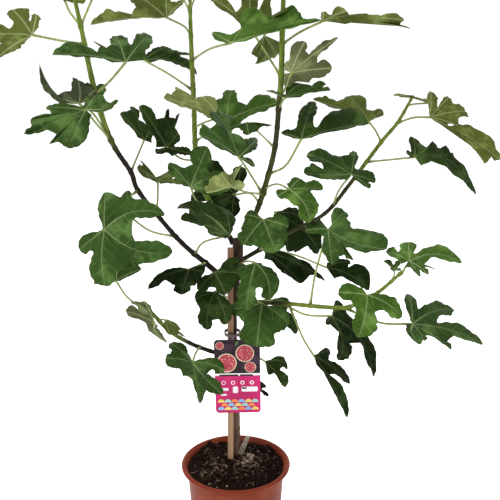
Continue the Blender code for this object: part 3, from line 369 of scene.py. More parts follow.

# %% The leaves
# Each leaf: its name, its stalk's points from inside the stem, and the blade's base. A leaf of a common
# form then has its tip, the turn of its upper face, its form, the fold of its halves and its droop. A
# drawn leaf has the slope of its blade's depth to the right and up, and its outline on the trunk's
# plane, clockwise as its upper face shows it: a heel corner, then lobes and notches in turn, and the
# other heel corner. A lobe has its tip and the half widths before and behind it, and a bent one also a
# point in the middle of its rib. The last word is the leaf's age and light.
# A leaf's tone word is partly painted light and shade: deep paints shade, and pale paints light on an
# underside.
LEAVES = {
    "trunk": [
        ("M4", [(5, 512, 15), (20, 518, -12)], (34, 516, -45), (0.02, 0.45), [
            (44, 515), (57, 452, 18.1, 16.5, 54, 485), (38, 473), (19, 433, 16.5, 18.2, 24, 476),
            (8, 493), (5, 505, 8.4, 8.4), (19, 512)], "mid"),
        ("M6", [(-1, 440, 15), (25, 452, -15)], (45, 446, -40), (-0.06, 0.32), [
            (54, 443), (90, 409, 13.7, 17.2, 68, 430), (75, 395), (36, 369, 30.2, 30.1), (10, 416),
            (-9, 434, 14, 13.9), (34, 446)], "mid"),
        ("M7", [(-2, 426, 16), (30, 448, 35)], (62, 452, 45), (0.60, 0.38), [
            (66, 455), (94, 442, 6.9, 6.9, 78, 450), (86, 433), (103, 392, 8.4, 10.1, 83, 426),
            (63, 443)], "dark"),
        ("C16", [(-2, 448, 16), (-20, 461, 15), (-29, 468, -5)], (-34, 466, -25), (-0.07, 0.68), [
            (-27, 465), (-14, 409, 15.1, 10.1, -22, 441), (-34, 417), (-47, 399, 11.6, 15, -44, 434),
            (-59, 437), (-66, 453, 13.7, 10.3), (-45, 467)], "dark"),
        ("R16", [(-3, 345, 15), (6, 333, 27)], (26, 307, 34), (0.57, 0.25), [
            (29, 311), (53, 297, 4.6, 4.6), (45, 292), (57, 279, 5.4, 5.4), (40, 288),
            (29, 285, 5.1, 5.1), (23, 301)], "deep"),
        ("R15", [(-3, 375, 15), (20, 362, 20)], (50, 343, 25), (0.58, 0.20), [
            (56, 345), (89, 331, 9, 8.1, 71, 345), (76, 328), (87, 297, 11.4, 12.3, 70, 321), (64, 322),
            (59, 318, 6, 6), (52, 336)], "dark"),
    ],
    "stem_left": [
        ("L1", [(-227, 859, -94), (-262, 864, -98)], (-305, 873, -101), (0.03, -1.25), [
            (-294, 884), (-296, 902, 6.7, 6.7), (-307, 892), (-331, 909, 13.8, 14.6), (-338, 882),
            (-399, 868, 14.5, 14.6), (-348, 856), (-362, 839, 10, 10), (-309, 868)], "olive"),
        ("L1c", [(-238, 927, -110), (-228, 945, -94)], (-220, 965, -74),
         (-190, 1000, -9), 80, "young", (25, 25), 15, "bright"),
        ("L1a", [(-231, 885, -100), (-246, 905, -94)], (-252, 922, -87),
         (-285, 985, -62), 60, "young", (30, 30), 10, "olive"),
        ("L1b", [(-231, 885, -100), (-216, 915, -107)], (-205, 940, -112),
         (-165, 1010, -132), 70, "young", (25, 25), 15, "bright"),
        ("L2", [(-213, 785, -77), (-190, 805, -103)], (-165, 833, -133), (0.34, 1.25), [
            (-186, 832), (-277, 844, 4.5, 13.3), (-208, 847), (-213, 864, 3, 4.5), (-197, 851),
            (-178, 871, 12.3, 13.8), (-156, 858), (-128, 873, 11.7, 13.3), (-132, 836)], "mid"),
        ("L4", [(-194, 715, -61), (-219, 755, -59)], (-239, 770, -59), (-1.25, -1.25), [
            (-222, 776), (-214, 791, 6, 5.9), (-221, 800), (-239, 806, 12.4, 12.4), (-260, 789),
            (-297, 831, 9.4, 11.8, -287, 794), (-254, 770)], "dark"),
        ("L5", [(-194, 715, -61), (-215, 740, -79)], (-231, 761, -94), (0.23, 0.40), [
            (-221, 753), (-262, 702, 19.9, 10.7), (-272, 709), (-291, 708, 4.5, 3), (-278, 723),
            (-329, 724, 9.1, 6), (-316, 737), (-318, 746, 4.6, 6.1), (-285, 755), (-292, 765, 6.1, 6.1),
            (-235, 766), (-200, 800, 10.5, 9), (-198, 775), (-179, 776, 4.5, 4.5, -188, 766),
            (-213, 757)], "mid"),
        ("C9a", [(-164, 664, -49), (-150, 695, -10)], (-141, 714, 30), (1.25, 1.18), [
            (-152, 719), (-177, 756, 6.3, 6.3), (-166, 759), (-159, 766, 4.7, 4.7), (-149, 746),
            (-129, 735, 7.7, 7.7), (-129, 710)], "dark"),
        ("L6", [(-154, 635, -41), (-182, 612, -83)], (-211, 571, -113), (-0.11, 0.13), [
            (-214, 577), (-206, 632, 9.6, 16), (-172, 623), (-112, 597, 17.7, 13, -151, 603), (-166, 568),
            (-101, 533, 25.2, 15.3, -163, 539), (-167, 508), (-214, 475, 21.3, 19.6, -216, 523),
            (-231, 534), (-253, 538, 14.5, 12.8), (-219, 569)], "mid"),
        ("L7b", [(-95, 559, -15), (-137, 569, 8)], (-173, 596, 26),
         (-216, 557, 70), 60, "five", (15, 15), 20, "dark"),
        ("C10", [(-126, 597, -27), (-123, 619, -16)], (-121, 651, 4), (1.21, 1.25), [
            (-124, 647), (-154, 671, 8.1, 4.8), (-148, 672), (-148, 684, 3.2, 4.8), (-126, 656),
            (-86, 668, 4.7, 7.9), (-100, 651), (-75, 645, 6.4, 4.8), (-118, 645)], "olive"),
        ("C12", [(-65, 530, -1), (-50, 550, -32)], (-7, 562, -52), (0.84, 1.25), [
            (-15, 555), (-43, 566, 6.7, 6.6), (-47, 574), (-87, 588, 11.6, 8.3), (-73, 599),
            (-93, 606, 6.6, 11.5, -57, 598), (-37, 615), (-15, 605, 11.3, 11.3), (-2, 572)], "dark"),
        ("C15", [(-48, 515, 5), (-52, 514, -20)], (-75, 505, -40), (-0.06, 1.25), [
            (-65, 509), (-50, 499, 10.2, 10.3), (-66, 476), (-89, 461, 13.2, 13.1), (-103, 478),
            (-144, 471, 8.4, 6.7, -116, 490), (-91, 508)], "deep"),
        ("C14", [(-24, 493, 13), (-27, 499, 0)], (-33, 500, -25), (-0.23, 0.73), [
            (-26, 505), (5, 524, 6.7, 10.1), (5, 507), (15, 497, 11.9, 12), (1, 476),
            (-15, 461, 13.3, 11.7), (-35, 473), (-60, 467, 11.7, 10), (-40, 497)], "dark"),
    ],
    "stem_centre_left": [
        ("C0a", [(-65, 905, 151), (-78, 930, 157)], (-90, 955, 162),
         (-150, 985, 187), 80, "young", (30, 20), 15, "bright"),
        ("C0b", [(-65, 909, 153), (-55, 930, 143)], (-42, 950, 133),
         (15, 985, 98), 80, "young", (30, 20), 15, "bright"),
        ("C0c", [(-65, 915, 155), (-68, 925, 152)], (-72, 935, 150),
         (-85, 985, 140), 60, "young", (40, 40), 10, "bright"),
        ("C1", [(-65, 872, 141), (-75, 885, 139)], (-101, 898, 134), (0.23, -1.25), [
            (-90, 903), (-73, 923, 4.3, 2.9), (-93, 920), (-99, 965, 15, 15), (-127, 940),
            (-151, 934, 11.8, 13.3), (-155, 899), (-216, 887, 10, 2.9), (-113, 896)], "olive"),
        ("A3", [(-64, 791, 114), (-100, 815, 126)], (-137, 836, 138), (0.53, 1.25), [
            (-141, 840), (-104, 856, 4.4, 4.4), (-93, 850), (-64, 843, 2.9, 2.2), (-90, 846),
            (-56, 814, 8.9, 4.5, -94, 832), (-127, 832)], "dark"),
        ("C3", [(-63, 836, 129), (-36, 852, 50)], (-4, 861, -45), (-0.42, 0.45), [
            (-12, 860), (-32, 876, 7.4, 5.9), (10, 881), (38, 909, 11.8, 11.9), (61, 894),
            (88, 916, 11.7, 10.3), (105, 896), (135, 894, 4.4, 4.4), (19, 863)], "bright"),
        ("C4", [(-61, 712, 88), (-35, 730, 76)], (-12, 745, 61), (-0.33, 1.25), [
            (-26, 747), (-33, 775, 6.2, 4.7), (-20, 778), (-4, 791, 10.8, 10.8), (18, 769),
            (68, 772, 15.2, 9.2), (10, 740)], "bright"),
        ("C4b", [(-62, 734, 95), (-45, 742, 71)], (-22, 750, 46), (-0.66, -1.25), [
            (-26, 758), (-49, 781, 9.3, 9.3), (-67, 774), (-90, 797, 7.7, 3.1), (-97, 783),
            (-109, 779, 4.6, 7.7), (-40, 748)], "pale"),
        ("C9", [(-61, 682, 78), (-85, 686, 36)], (-106, 704, 6), (0.81, 0.01), [
            (-123, 703), (-147, 767, 9.5, 11), (-120, 747), (-102, 763, 5.5, 4.7), (-102, 750),
            (-84, 756, 4.6, 4.6), (-95, 738), (-87, 725, 7.7, 7.7), (-94, 705), (-66, 692, 7.9, 4.7),
            (-98, 689), (-124, 695, 6.2, 6.2), (-121, 700)], "dark"),
        ("C11", [(-30, 599, 44), (-60, 618, -2)], (-70, 640, -28), (-0.67, -0.26), [
            (-82, 642), (-104, 678, 9.6, 8, -86, 663), (-67, 676), (-42, 704, 17.3, 17.4, -58, 665),
            (-39, 663), (-24, 666, 6.3, 6.3), (-18, 654), (-5, 638, 11.2, 9.7), (-58, 631)], "mid"),
    ],
    "stem_centre_right": [
        ("C2", [(72, 812, -45), (50, 845, -7)], (25, 884, 33), (-1.13, -1.25), [
            (58, 900), (55, 945, 8.9, 11.9), (36, 903), (19, 954, 12, 13.5), (1, 904),
            (-44, 931, 7.3, 7.3), (16, 880)], "olive"),
        ("C6a", [(76, 943, -49), (95, 965, -35)], (120, 975, -20),
         (210, 960, 20), 85, "five", (20, 20), 25, "bright"),
        ("C6b", [(76, 952, -49), (55, 975, -66)], (30, 985, -86),
         (-50, 985, -151), 70, "five", (20, 20), 25, "bright"),
        ("C6c", [(79, 976, -50), (85, 990, -44)], (92, 1002, -39),
         (120, 1045, -14), 70, "young", (30, 30), 10, "bright"),
        ("C6d", [(80, 982, -51), (72, 995, -55)], (65, 1005, -57),
         (40, 1040, -75), 70, "young", (30, 30), 10, "bright"),
        ("C6", [(73, 858, -49), (100, 876, -42)], (135, 893, -32), (-0.19, -1.25), [
            (169, 888), (269, 882, 2.2, 2.9), (252, 885), (258, 894, 4.3, 5.7), (223, 898),
            (200, 904, 10.1, 8.7), (180, 896), (170, 907, 4.4, 7.3), (147, 901), (135, 906, 6, 3),
            (131, 898)], "olive"),
        ("C7", [(74, 880, -50), (60, 882, -34)], (47, 872, 1), (1.25, -1.07), [
            (75, 860), (66, 842, 6, 7.5), (51, 835), (34, 830, 7.6, 4.6), (36, 840), (28, 844, 4.5, 4.5),
            (39, 864)], "olive"),
        ("R1", [(71, 777, -38), (80, 795, -44)], (88, 817, -54), (0.46, -0.26), [
            (76, 815), (81, 795, 6.2, 7.7), (116, 802), (151, 824, 14.9, 13.4), (128, 832),
            (159, 869, 6, 6), (115, 844), (108, 863, 9.2, 12.2), (83, 834), (79, 832, 3.8, 3.8),
            (77, 821)], "grey"),
        ("R2", [(70, 762, -35), (74, 772, -47)], (78, 779, -57), (-0.56, 1.25), [
            (75, 783), (49, 790, 3, 3), (79, 784), (102, 801, 7.7, 9.2), (121, 797), (142, 800, 3.8, 3),
            (138, 793), (150, 791, 3, 2.3), (103, 780)], "dark"),
        ("R3", [(57, 662, -16), (82, 675, -27)], (105, 716, -42), (-0.27, 1.25), [
            (92, 717), (74, 726, 3.9, 6.2), (95, 732), (124, 774, 14.1, 11), (126, 735),
            (211, 740, 24.8, 6.2), (122, 718)], "dark"),
        ("C5", [(44, 631, -9), (19, 671, -39)], (8, 688, -84), (1.25, 1.25), [
            (-3, 691), (-55, 724, 7.9, 12.5), (-37, 733), (-29, 758, 12.6, 14.1), (-3, 725),
            (36, 717, 7.8, 9.4), (14, 688), (33, 674, 4.7, 4.7), (11, 685)], "mid"),
        ("C17", [(63, 703, -24), (39, 726, -51)], (20, 742, -81), (-0.80, 1.25), [
            (28, 741), (60, 738, 4.6, 4.6), (37, 729), (23, 723, 7.8, 7.8), (11, 729),
            (-7, 733, 4.6, 4.6), (12, 740)], "dark"),
        ("C8", [(44, 629, -9), (20, 632, -50)], (-5, 640, -80), (1.13, 0.65), [
            (3, 638), (17, 644, 6.4, 9.6), (-7, 657), (13, 677, 4.8, 4.8), (-16, 665),
            (-21, 663, 4.8, 9.6), (-40, 652), (-45, 631, 11.2, 4.8), (-13, 638)], "pale"),
        ("C13", [(41, 614, -5), (25, 630, 45)], (0, 628, 88),
         (-70, 622, 133), 40, "broad", (15, 15), 20, "deep"),
        ("M1", [(47, 638, -11), (68, 645, -30)], (88, 637, -45), (-0.11, 0.67), [
            (83, 646), (104, 654, 8, 6.4), (112, 649), (142, 637, 11.2, 6.4), (122, 634),
            (122, 583, 19.1, 17.6, 112, 612), (96, 610), (69, 625, 8.1, 8.1), (80, 636)], "bright"),
        ("M2", [(30, 591, 0), (36, 592, -35)], (46, 588, -65), (-0.15, 0.80), [
            (58, 592), (87, 576, 13.1, 13.1), (84, 552), (67, 533, 17.8, 17.9), (39, 541),
            (14, 546, 14.7, 14.7), (10, 572), (18, 596, 8.2, 8.2), (36, 597)], "mid"),
    ],
    "stem_right": [
        ("M3", [(63, 551, 44), (62, 580, 51)], (66, 600, 56), (1.04, 0.17), [
            (73, 602), (110, 589, 9.8, 11.4, 89, 598), (114, 575), (138, 535, 16.2, 14.7, 111, 566),
            (106, 536), (87, 533, 8.1, 8.1, 80, 568), (62, 588)], "deep"),
        ("R6", [(256, 741, 141), (280, 749, 139)], (305, 750, 134), (-1.15, -1.25), [
            (312, 744), (397, 677, 2.3, 7.5, 351, 719), (400, 687), (420, 683, 7.6, 12), (333, 738),
            (350, 737, 3, 3), (350, 745), (360, 759, 12.4, 10.8), (339, 771), (333, 780, 4.8, 6.3),
            (316, 765), (304, 789, 9.3, 7.8), (303, 758)], "olive"),
        ("R6b", [(265, 757, 146), (272, 768, 153)], (300, 772, 163),
         (247, 783, 203), 88, "young", (5, 5), 10, "olive"),
        ("R4", [(231, 711, 128), (222, 728, 135)], (211, 743, 140), (0.82, 1.25), [
            (183, 753), (122, 777, 9.1, 6), (160, 774), (179, 782, 9.1, 12.1), (208, 761),
            (230, 761, 6.3, 7.9), (219, 747)], "olive"),
        ("R7", [(209, 680, 117), (250, 684, 105)], (285, 688, 85), (1.14, 1.25), [
            (278, 686), (271, 696, 3.1, 3.1), (278, 696), (282, 718, 9.4, 7.8), (302, 703),
            (314, 711, 4.8, 4.8), (319, 704), (346, 682, 18.7, 4.7), (337, 679),
            (387, 628, 7.7, 15.4, 358, 666), (296, 674)], "dark"),
        ("R5", [(158, 609, 91), (167, 635, 75)], (186, 661, 60), (0.29, 1.25), [
            (179, 651), (110, 663, 8, 11.1, 149, 657), (141, 670), (115, 693, 11, 12.5), (167, 689),
            (190, 697, 7.9, 6.4), (191, 671), (225, 649, 11, 4.7), (213, 646), (216, 638, 4.7, 4.7),
            (192, 651)], "mid"),
        ("R9", [(47, 541, 37), (100, 528, 56)], (150, 508, 66), (0.60, 1.06), [
            (151, 516), (187, 520, 5.1, 8.5), (186, 508), (222, 469, 23.3, 10, 187, 493),
            (164, 488)], "deep"),
        ("M8", [(40, 537, 34), (44, 539, 22)], (50, 535, 9), (0.59, 1.25), [
            (60, 539), (149, 485, 6.7, 5, 106, 509), (118, 487), (110, 480, 6.6, 10, 86, 502),
            (48, 522)], "deep"),
    ],
    "stem_low_right": [
        ("R8", [(125, 442, -56), (133, 500, -65)], (151, 572, -80), (-0.12, 1.11), [
            (156, 578), (178, 600, 13.2, 9.9), (188, 582), (248, 539, 24.6, 11.6, 194, 545), (175, 544),
            (195, 520, 4.9, 9.7), (175, 527), (159, 513, 13, 13), (143, 560), (114, 570, 8.3, 13.2),
            (136, 590)], "mid"),
        ("R13", [(270, 494, -133), (276, 501, -137)], (286, 519, -140), (-0.12, 1.25), [
            (272, 513), (248, 537, 8.2, 6.6, 267, 527), (265, 533), (282, 550, 14.6, 13), (293, 531),
            (372, 516, 13.4, 10.1, 326, 527), (310, 511), (330, 505, 3.3, 3.3), (312, 508),
            (318, 496, 4.1, 4.1), (299, 503), (305, 492, 4, 4.8), (278, 508)], "bright"),
        ("R13b", [(258, 485, -127), (262, 495, -124)], (262, 503, -122),
         (246, 520, -102), 60, "young", (20, 20), 15, "bright"),
        ("R10", [(190, 440, -91), (207, 450, -113)], (219, 461, -128), (0.03, 0.46), [
            (230, 464), (279, 422, 13.4, 15.2, 243, 450), (235, 431), (207, 386, 23.6, 18.5, 216, 422),
            (197, 441), (171, 465, 13.8, 15.5), (209, 474)], "bright"),
        ("R11", [(183, 438, -87), (242, 412, -101)], (297, 410, -116), (0.63, 1.25), [
            (292, 417), (288, 462, 11.6, 8.3), (305, 436), (363, 436, 16, 16.1, 330, 429), (338, 412),
            (418, 374, 12.2, 10.5, 352, 396), (357, 378), (365, 364, 4.3, 3.4), (321, 389),
            (319, 380, 5, 5), (306, 392), (310, 373, 8.3, 8.3, 296, 390), (285, 408)], "mid"),
        ("R12", [(80, 445, -31), (118, 426, -53)], (162, 424, -73), (1.25, 1.25), [
            (162, 431), (173, 450, 7.6, 7.6), (185, 433), (237, 314, 11.8, 10.1, 200, 390), (189, 374),
            (174, 345, 10.1, 10.1, 178, 381), (162, 406), (152, 410, 5.2, 5.2), (154, 422)], "deep"),
        ("R14", [(89, 445, -36), (114, 385, -30)], (133, 354, -20), (1.25, 0.91), [
            (138, 356), (160, 362, 7.2, 7.2), (158, 346), (196, 303, 8.8, 8.8), (160, 318),
            (193, 238, 10.3, 5.2, 163, 296), (138, 336)], "deep"),
    ],
    "stem_low_left": [
        ("L7", [(-153, 440, -86), (-177, 455, -76)], (-196, 485, -61), (-0.22, 1.25), [
            (-202, 482), (-233, 481, 5.1, 6.8), (-223, 493), (-208, 523, 10.1, 10), (-199, 516),
            (-185, 533, 8.1, 8.1), (-177, 516), (-153, 505, 10, 5), (-189, 484)], "mid"),
        ("C15b", [(-127, 416, -70), (-122, 418, -66)], (-117, 417, -64), (0.06, 0.41), [
            (-112, 418), (-91, 399, 5.3, 4.4), (-102, 401), (-83, 387, 4.4, 4.4), (-99, 391),
            (-109, 390, 5.1, 5.1), (-121, 406)], "olive"),
        ("L8", [(-141, 431, -78), (-140, 422, -91)], (-134, 412, -106), (-0.56, -1.25), [
            (-137, 425), (-153, 451, 3.4, 3.4), (-151, 439), (-170, 448, 7, 7, -152, 434), (-163, 435),
            (-182, 433, 10.6, 8.9, -157, 422), (-145, 397), (-115, 376, 6.9, 5.2, -135, 395),
            (-129, 406)], "mid"),
        ("L9", [(-60, 369, -8), (-68, 355, -46)], (-72, 342, -74), (0.13, 1.25), [
            (-59, 347), (-18, 326, 10.9, 10.9, -46, 337), (-47, 321), (-22, 282, 10.7, 16.1, -53, 310),
            (-63, 300), (-61, 264, 13.7, 5.2), (-90, 316), (-118, 349, 18.2, 5.4), (-111, 356),
            (-108, 376, 10.7, 10.6), (-78, 355)], "mid"),
    ],
}
print("leaves:", sum(len(rows) for rows in LEAVES.values()))

# %% [markdown]
# ## From a flat drawing to the round
# A leaf's picture is flat, and the leaf is not. Most leaves are drawn, each as a flat outline over the
# trunk's plane, and two slopes say how the blade leans away from the viewer. Fourteen need no drawing
# of their own: they take one of three common forms, which is folded along its midrib and droops. Both
# ways end in the same table of points in the round.

# %% Outlines in the round
NOTCH_LIFT = 0.10
LOBE_HANG = 0.05
HEEL_LIFT = 0.6
VARIETY = (0.86, 1.14)
LOBE_TURN = 5
FORM_WAVE = 0.05
# Common forms of a fig leaf, as shares of its blade's length: lobes as angle from the midrib, length
# and half width; the notches between them as angle and distance; the heel's corner likewise
FORMS = {
    "five": ([(0, 1.0, 0.165), (48, 0.88, 0.155), (103, 0.54, 0.14)],
             [(25, 0.36), (78, 0.29)], (137, 0.203)),
    "broad": ([(0, 1.0, 0.18), (50, 0.86, 0.17), (104, 0.54, 0.15)],
              [(26, 0.47), (79, 0.37)], (138, 0.217)),
    "young": ([(0, 1.0, 0.20), (46, 0.80, 0.18), (95, 0.42, 0.13)],
              [(24, 0.45), (72, 0.33)], (130, 0.154)),
}


def drawn_outline(base, slope, points):
    """An outline read from the front, in the round: the blade slopes to the right and up, its notches
    ride high and its lobes hang."""
    turning = sum(a[0] * b[1] - a[1] * b[0] for a, b in zip(points, points[1:] + points[:1]))
    side = math.copysign(1, turning)
    facing = side / math.hypot(1, *slope)
    root = seen(*base)

    def spot(x, z, lift=0.0):
        """A point of the sloping blade, lifted off it by a share of its distance from the base."""
        deep = base[2] + slope[0] * (x - base[0]) + slope[1] * (z - base[1])
        return x, z, deep + lift * facing * (seen(x, z, deep) - root).length

    outline = []
    for i, (x, z, *more) in enumerate(points):
        if i % 2 == 0:
            outline.append(spot(x, z, NOTCH_LIFT * (HEEL_LIFT if i in (0, len(points) - 1) else 1)))
            continue
        middle = more[2:] or ((x + base[0]) / 2, (z + base[1]) / 2)
        ahead = (seen(*spot(x, z)) - root).normalized()
        across = Vector((z - base[1], base[0] - x)).normalized() * side
        widths = []
        for way, width in zip((across, -across), more):
            edge = seen(*spot(middle[0] + way.x * width, middle[1] + way.y * width))
            off = edge - seen(*spot(*middle))
            widths.append((off - off.dot(ahead) * ahead).length)
        rib = spot(*middle, -LOBE_HANG) if more[2:] else ()
        outline.append((*spot(x, z, -LOBE_HANG), *widths, *rib))
    return outline


def formed_outline(name, base, tip, turn, form, fold, droop):
    """The outline of a common form, laid from base to tip: turn takes its upper face from the viewer
    (0) to the sky (90), fold lifts both halves off the midrib, and the tip droops."""
    lobes, notches, heel = FORMS[form]
    seed = sum(map(ord, name))
    rng = np.random.default_rng(seed)
    marks = [(*heel, 0)]
    for side in (1, -1):
        for i in range(len(lobes) - 1, -1, -1) if side > 0 else range(1, len(lobes)):
            if side < 0:
                marks.append((-notches[i - 1][0], notches[i - 1][1] * rng.uniform(*VARIETY), 0))
            angle, length, width = lobes[i]
            if i:
                angle = side * angle + rng.uniform(-LOBE_TURN, LOBE_TURN)
                length *= rng.uniform(*VARIETY)
            marks.append((angle, length, width))
            if side > 0 and i > 0:
                marks.append((notches[i - 1][0], notches[i - 1][1] * rng.uniform(*VARIETY), 0))
    marks += [(-heel[0], heel[1], 0), (0, 1, 0)]
    angle, reach = np.radians([m[0] for m in marks]), np.array([m[1] for m in marks])
    u, v = reach * np.cos(angle), reach * np.sin(angle)
    rise = np.radians(np.where(v >= 0, *fold))
    wave = np.sin(4 * angle + seed) + 0.6 * np.sin(9 * angle + 2.3 * seed)
    w = np.abs(v) * np.sin(rise) + FORM_WAVE * reach ** 1.5 * wave
    bend = math.radians(droop)
    along = np.sin(bend * u) / bend + w * np.sin(bend * u)
    up = (np.cos(bend * u) - 1) / bend + w * np.cos(bend * u)
    tilt = math.atan2(up[-1], along[-1])
    root, end = seen(*base), seen(*tip)
    size = (end - root).length / math.hypot(along[-1], up[-1])
    ahead = (end - root).normalized()
    front = (Vector((0, -1, 0)) + ahead.y * ahead).normalized()
    sky = front.cross(ahead) * (1 if ahead.x >= 0 else -1)
    face = math.cos(math.radians(turn)) * front + math.sin(math.radians(turn)) * sky
    beside = face.cross(ahead)
    outline = []
    for k, (_, _, width) in enumerate(marks[:-1]):
        a = along[k] * math.cos(tilt) + up[k] * math.sin(tilt)
        c = up[k] * math.cos(tilt) - along[k] * math.sin(tilt)
        b = v[k] * math.cos(rise[k])
        point = root + size * (float(a) * ahead + float(b) * beside + float(c) * face)
        spread = EYE.y / (EYE.y - point.y)
        over = EYE + (point - EYE) * spread
        widths = [width * size * rng.uniform(*VARIETY) for _ in (1, 2)] if width else []
        outline.append((over.x, over.z, point.y, *widths))
    return outline


def leaf_outline(name, base, *shape):
    """A leaf's outline in the round, drawn or of a common form."""
    return drawn_outline(base, *shape) if len(shape) == 2 else formed_outline(name, base, *shape)


LEAVES = {stem: [(name, stalk, base, leaf_outline(name, base, *shape), shade)
                 for name, stalk, base, *shape, shade in rows] for stem, rows in LEAVES.items()}

# %% [markdown]
# ## The outline of a fig leaf
# A fig leaf has three or five lobes with round notches between them, and its edge is scalloped.
# It could be drawn by hand on a plane and cut out, but no two leaves are alike, and 65 of them
# are needed. So each half lobe is a small grid between its rib and its edge, laid out from the
# table: the lobe's tip, its width and the notch beside it. The ribs are then mesh edges, which
# lets veins be raised and coloured exactly along them. Every corner also keeps its distance along
# and off its own rib in a UV map, and the leaf's material draws the side veins from these numbers.

# %% The edge of a lobe
NOTCH_ROWS = 7
ROW_STEP = 2.5
MOST_ROWS = 34
COLUMNS = (0, 0.07, 0.2, 0.38, 0.58, 0.79, 1)
SCALLOP = 0.042
SCALLOP_PITCH = 0.19
SCALLOP_ROUND = 0.85
SCALLOP_MOST = 0.22
SCALLOP_WANDER = 0.035


def lobe_edge(start, height, width, size, rows, ragged, rng):
    """One side of a lobe's edge from the notch to the tip, with scallops, in millimetres."""
    rest = size - start
    blunt = min(0.94, 0.46 + 1.3 * width / size) * rng.uniform(0.93, 1.05)
    profile = [(start, height), (start + 0.05 * rest, 0.86 * height),
               (start + 0.20 * rest, 0.30 * height + 0.55 * width),
               (start + 0.40 * rest, 0.10 * height + 0.86 * width),
               (start + 0.60 * rest, width * 1.03), (start + 0.80 * rest, blunt * width),
               (start + 0.93 * rest, blunt * 0.58 * width), (size, 0)]
    curve = smooth_curve(profile, 12)
    steps = np.hypot(*np.diff(curve, axis=0).T)
    run = np.concatenate([[0], np.cumsum(steps)])
    picks = np.linspace(0, run[-1], rows + 1)[1:]
    t = np.interp(picks, run, curve[:, 0])
    h = np.interp(picks, run, curve[:, 1])
    out = np.stack([-np.gradient(h), np.gradient(t)], axis=1)
    out /= np.linalg.norm(out, axis=1)[:, None]
    share = picks / run[-1]
    teeth = max(1, round(run[-1] / (SCALLOP_PITCH * max(size, 40) * rng.uniform(0.8, 1.2))))
    wander = share + SCALLOP_WANDER * np.sin(share * 7 + rng.uniform(0, 6))
    bumps = np.abs(np.sin(math.pi * teeth * wander)) ** SCALLOP_ROUND - 0.55
    grow = np.clip((share - 0.10) / 0.2, 0, 1) * np.clip((1 - share) / 0.06, 0, 1)
    deep = SCALLOP * ragged * size * grow * (0.75 + 0.5 * np.sin(share * 9 + rng.uniform(0, 6)))
    deep = np.minimum(deep, SCALLOP_MOST * (width + 4))
    return np.stack([t, h], axis=1) + out * (bumps * deep)[:, None]


# %% [markdown]
# ## The blade in the round
# A real blade is never flat. Its lobes hang, its notches ride higher, its edge waves, the ribs lie
# in grooves, and the skin between the side veins swells a little like a quilt. The table's points
# stand in the round already, so the lobes and notches carry the large bends, the same as in the
# construction model. The grid only adds the small ones, in millimetres, off the upper face.

# %% A leaf in the round
RIB_ARCH = 0.05
EDGE_WAVE = 1.6
VEIN_PITCH = 0.0150
VEIN_SLANT = 0.9
RIB_GROOVE = 0.8
GROOVE_WIDTH = 1.6
QUILT = 0.75
QUILT_FROM = 7
PILLOW = 0.06
PILLOW_MOST = 25
WAVE_FROM = 16
FULL_SIZE = 60
BLADE_THICKNESS = 0.5


def swelling(along, across, share, free, wave, size):
    """How far a point of the grid stands off the plain blade, in millimetres."""
    pitch = VEIN_PITCH / MM
    quilt = QUILT * math.sin(math.pi * (along - VEIN_SLANT * across) / pitch) ** 2
    quilt *= min(1, across / QUILT_FROM)
    groove = RIB_GROOVE * math.exp(-(across / GROOVE_WIDTH) ** 2)
    pillow = PILLOW * 4 * share * (1 - share) * min(across, PILLOW_MOST)
    ripple = EDGE_WAVE * math.sin(along / 7 + wave) * min(1, across / WAVE_FROM) ** 2
    kept = 1 - (1 - free) * share ** 4
    return (quilt + pillow + ripple) * kept * min(1, size / FULL_SIZE) - groove


def leaf_stand(base, outline):
    """A leaf's base, its outline's points from there, and the direction its upper face looks."""
    root = np.array(seen(*base))
    spots = [np.array(seen(*spot[:3])) - root for spot in outline]
    up = sum(np.cross(b, a) for a, b in zip(spots, spots[1:]))
    return root, spots, up / np.linalg.norm(up)


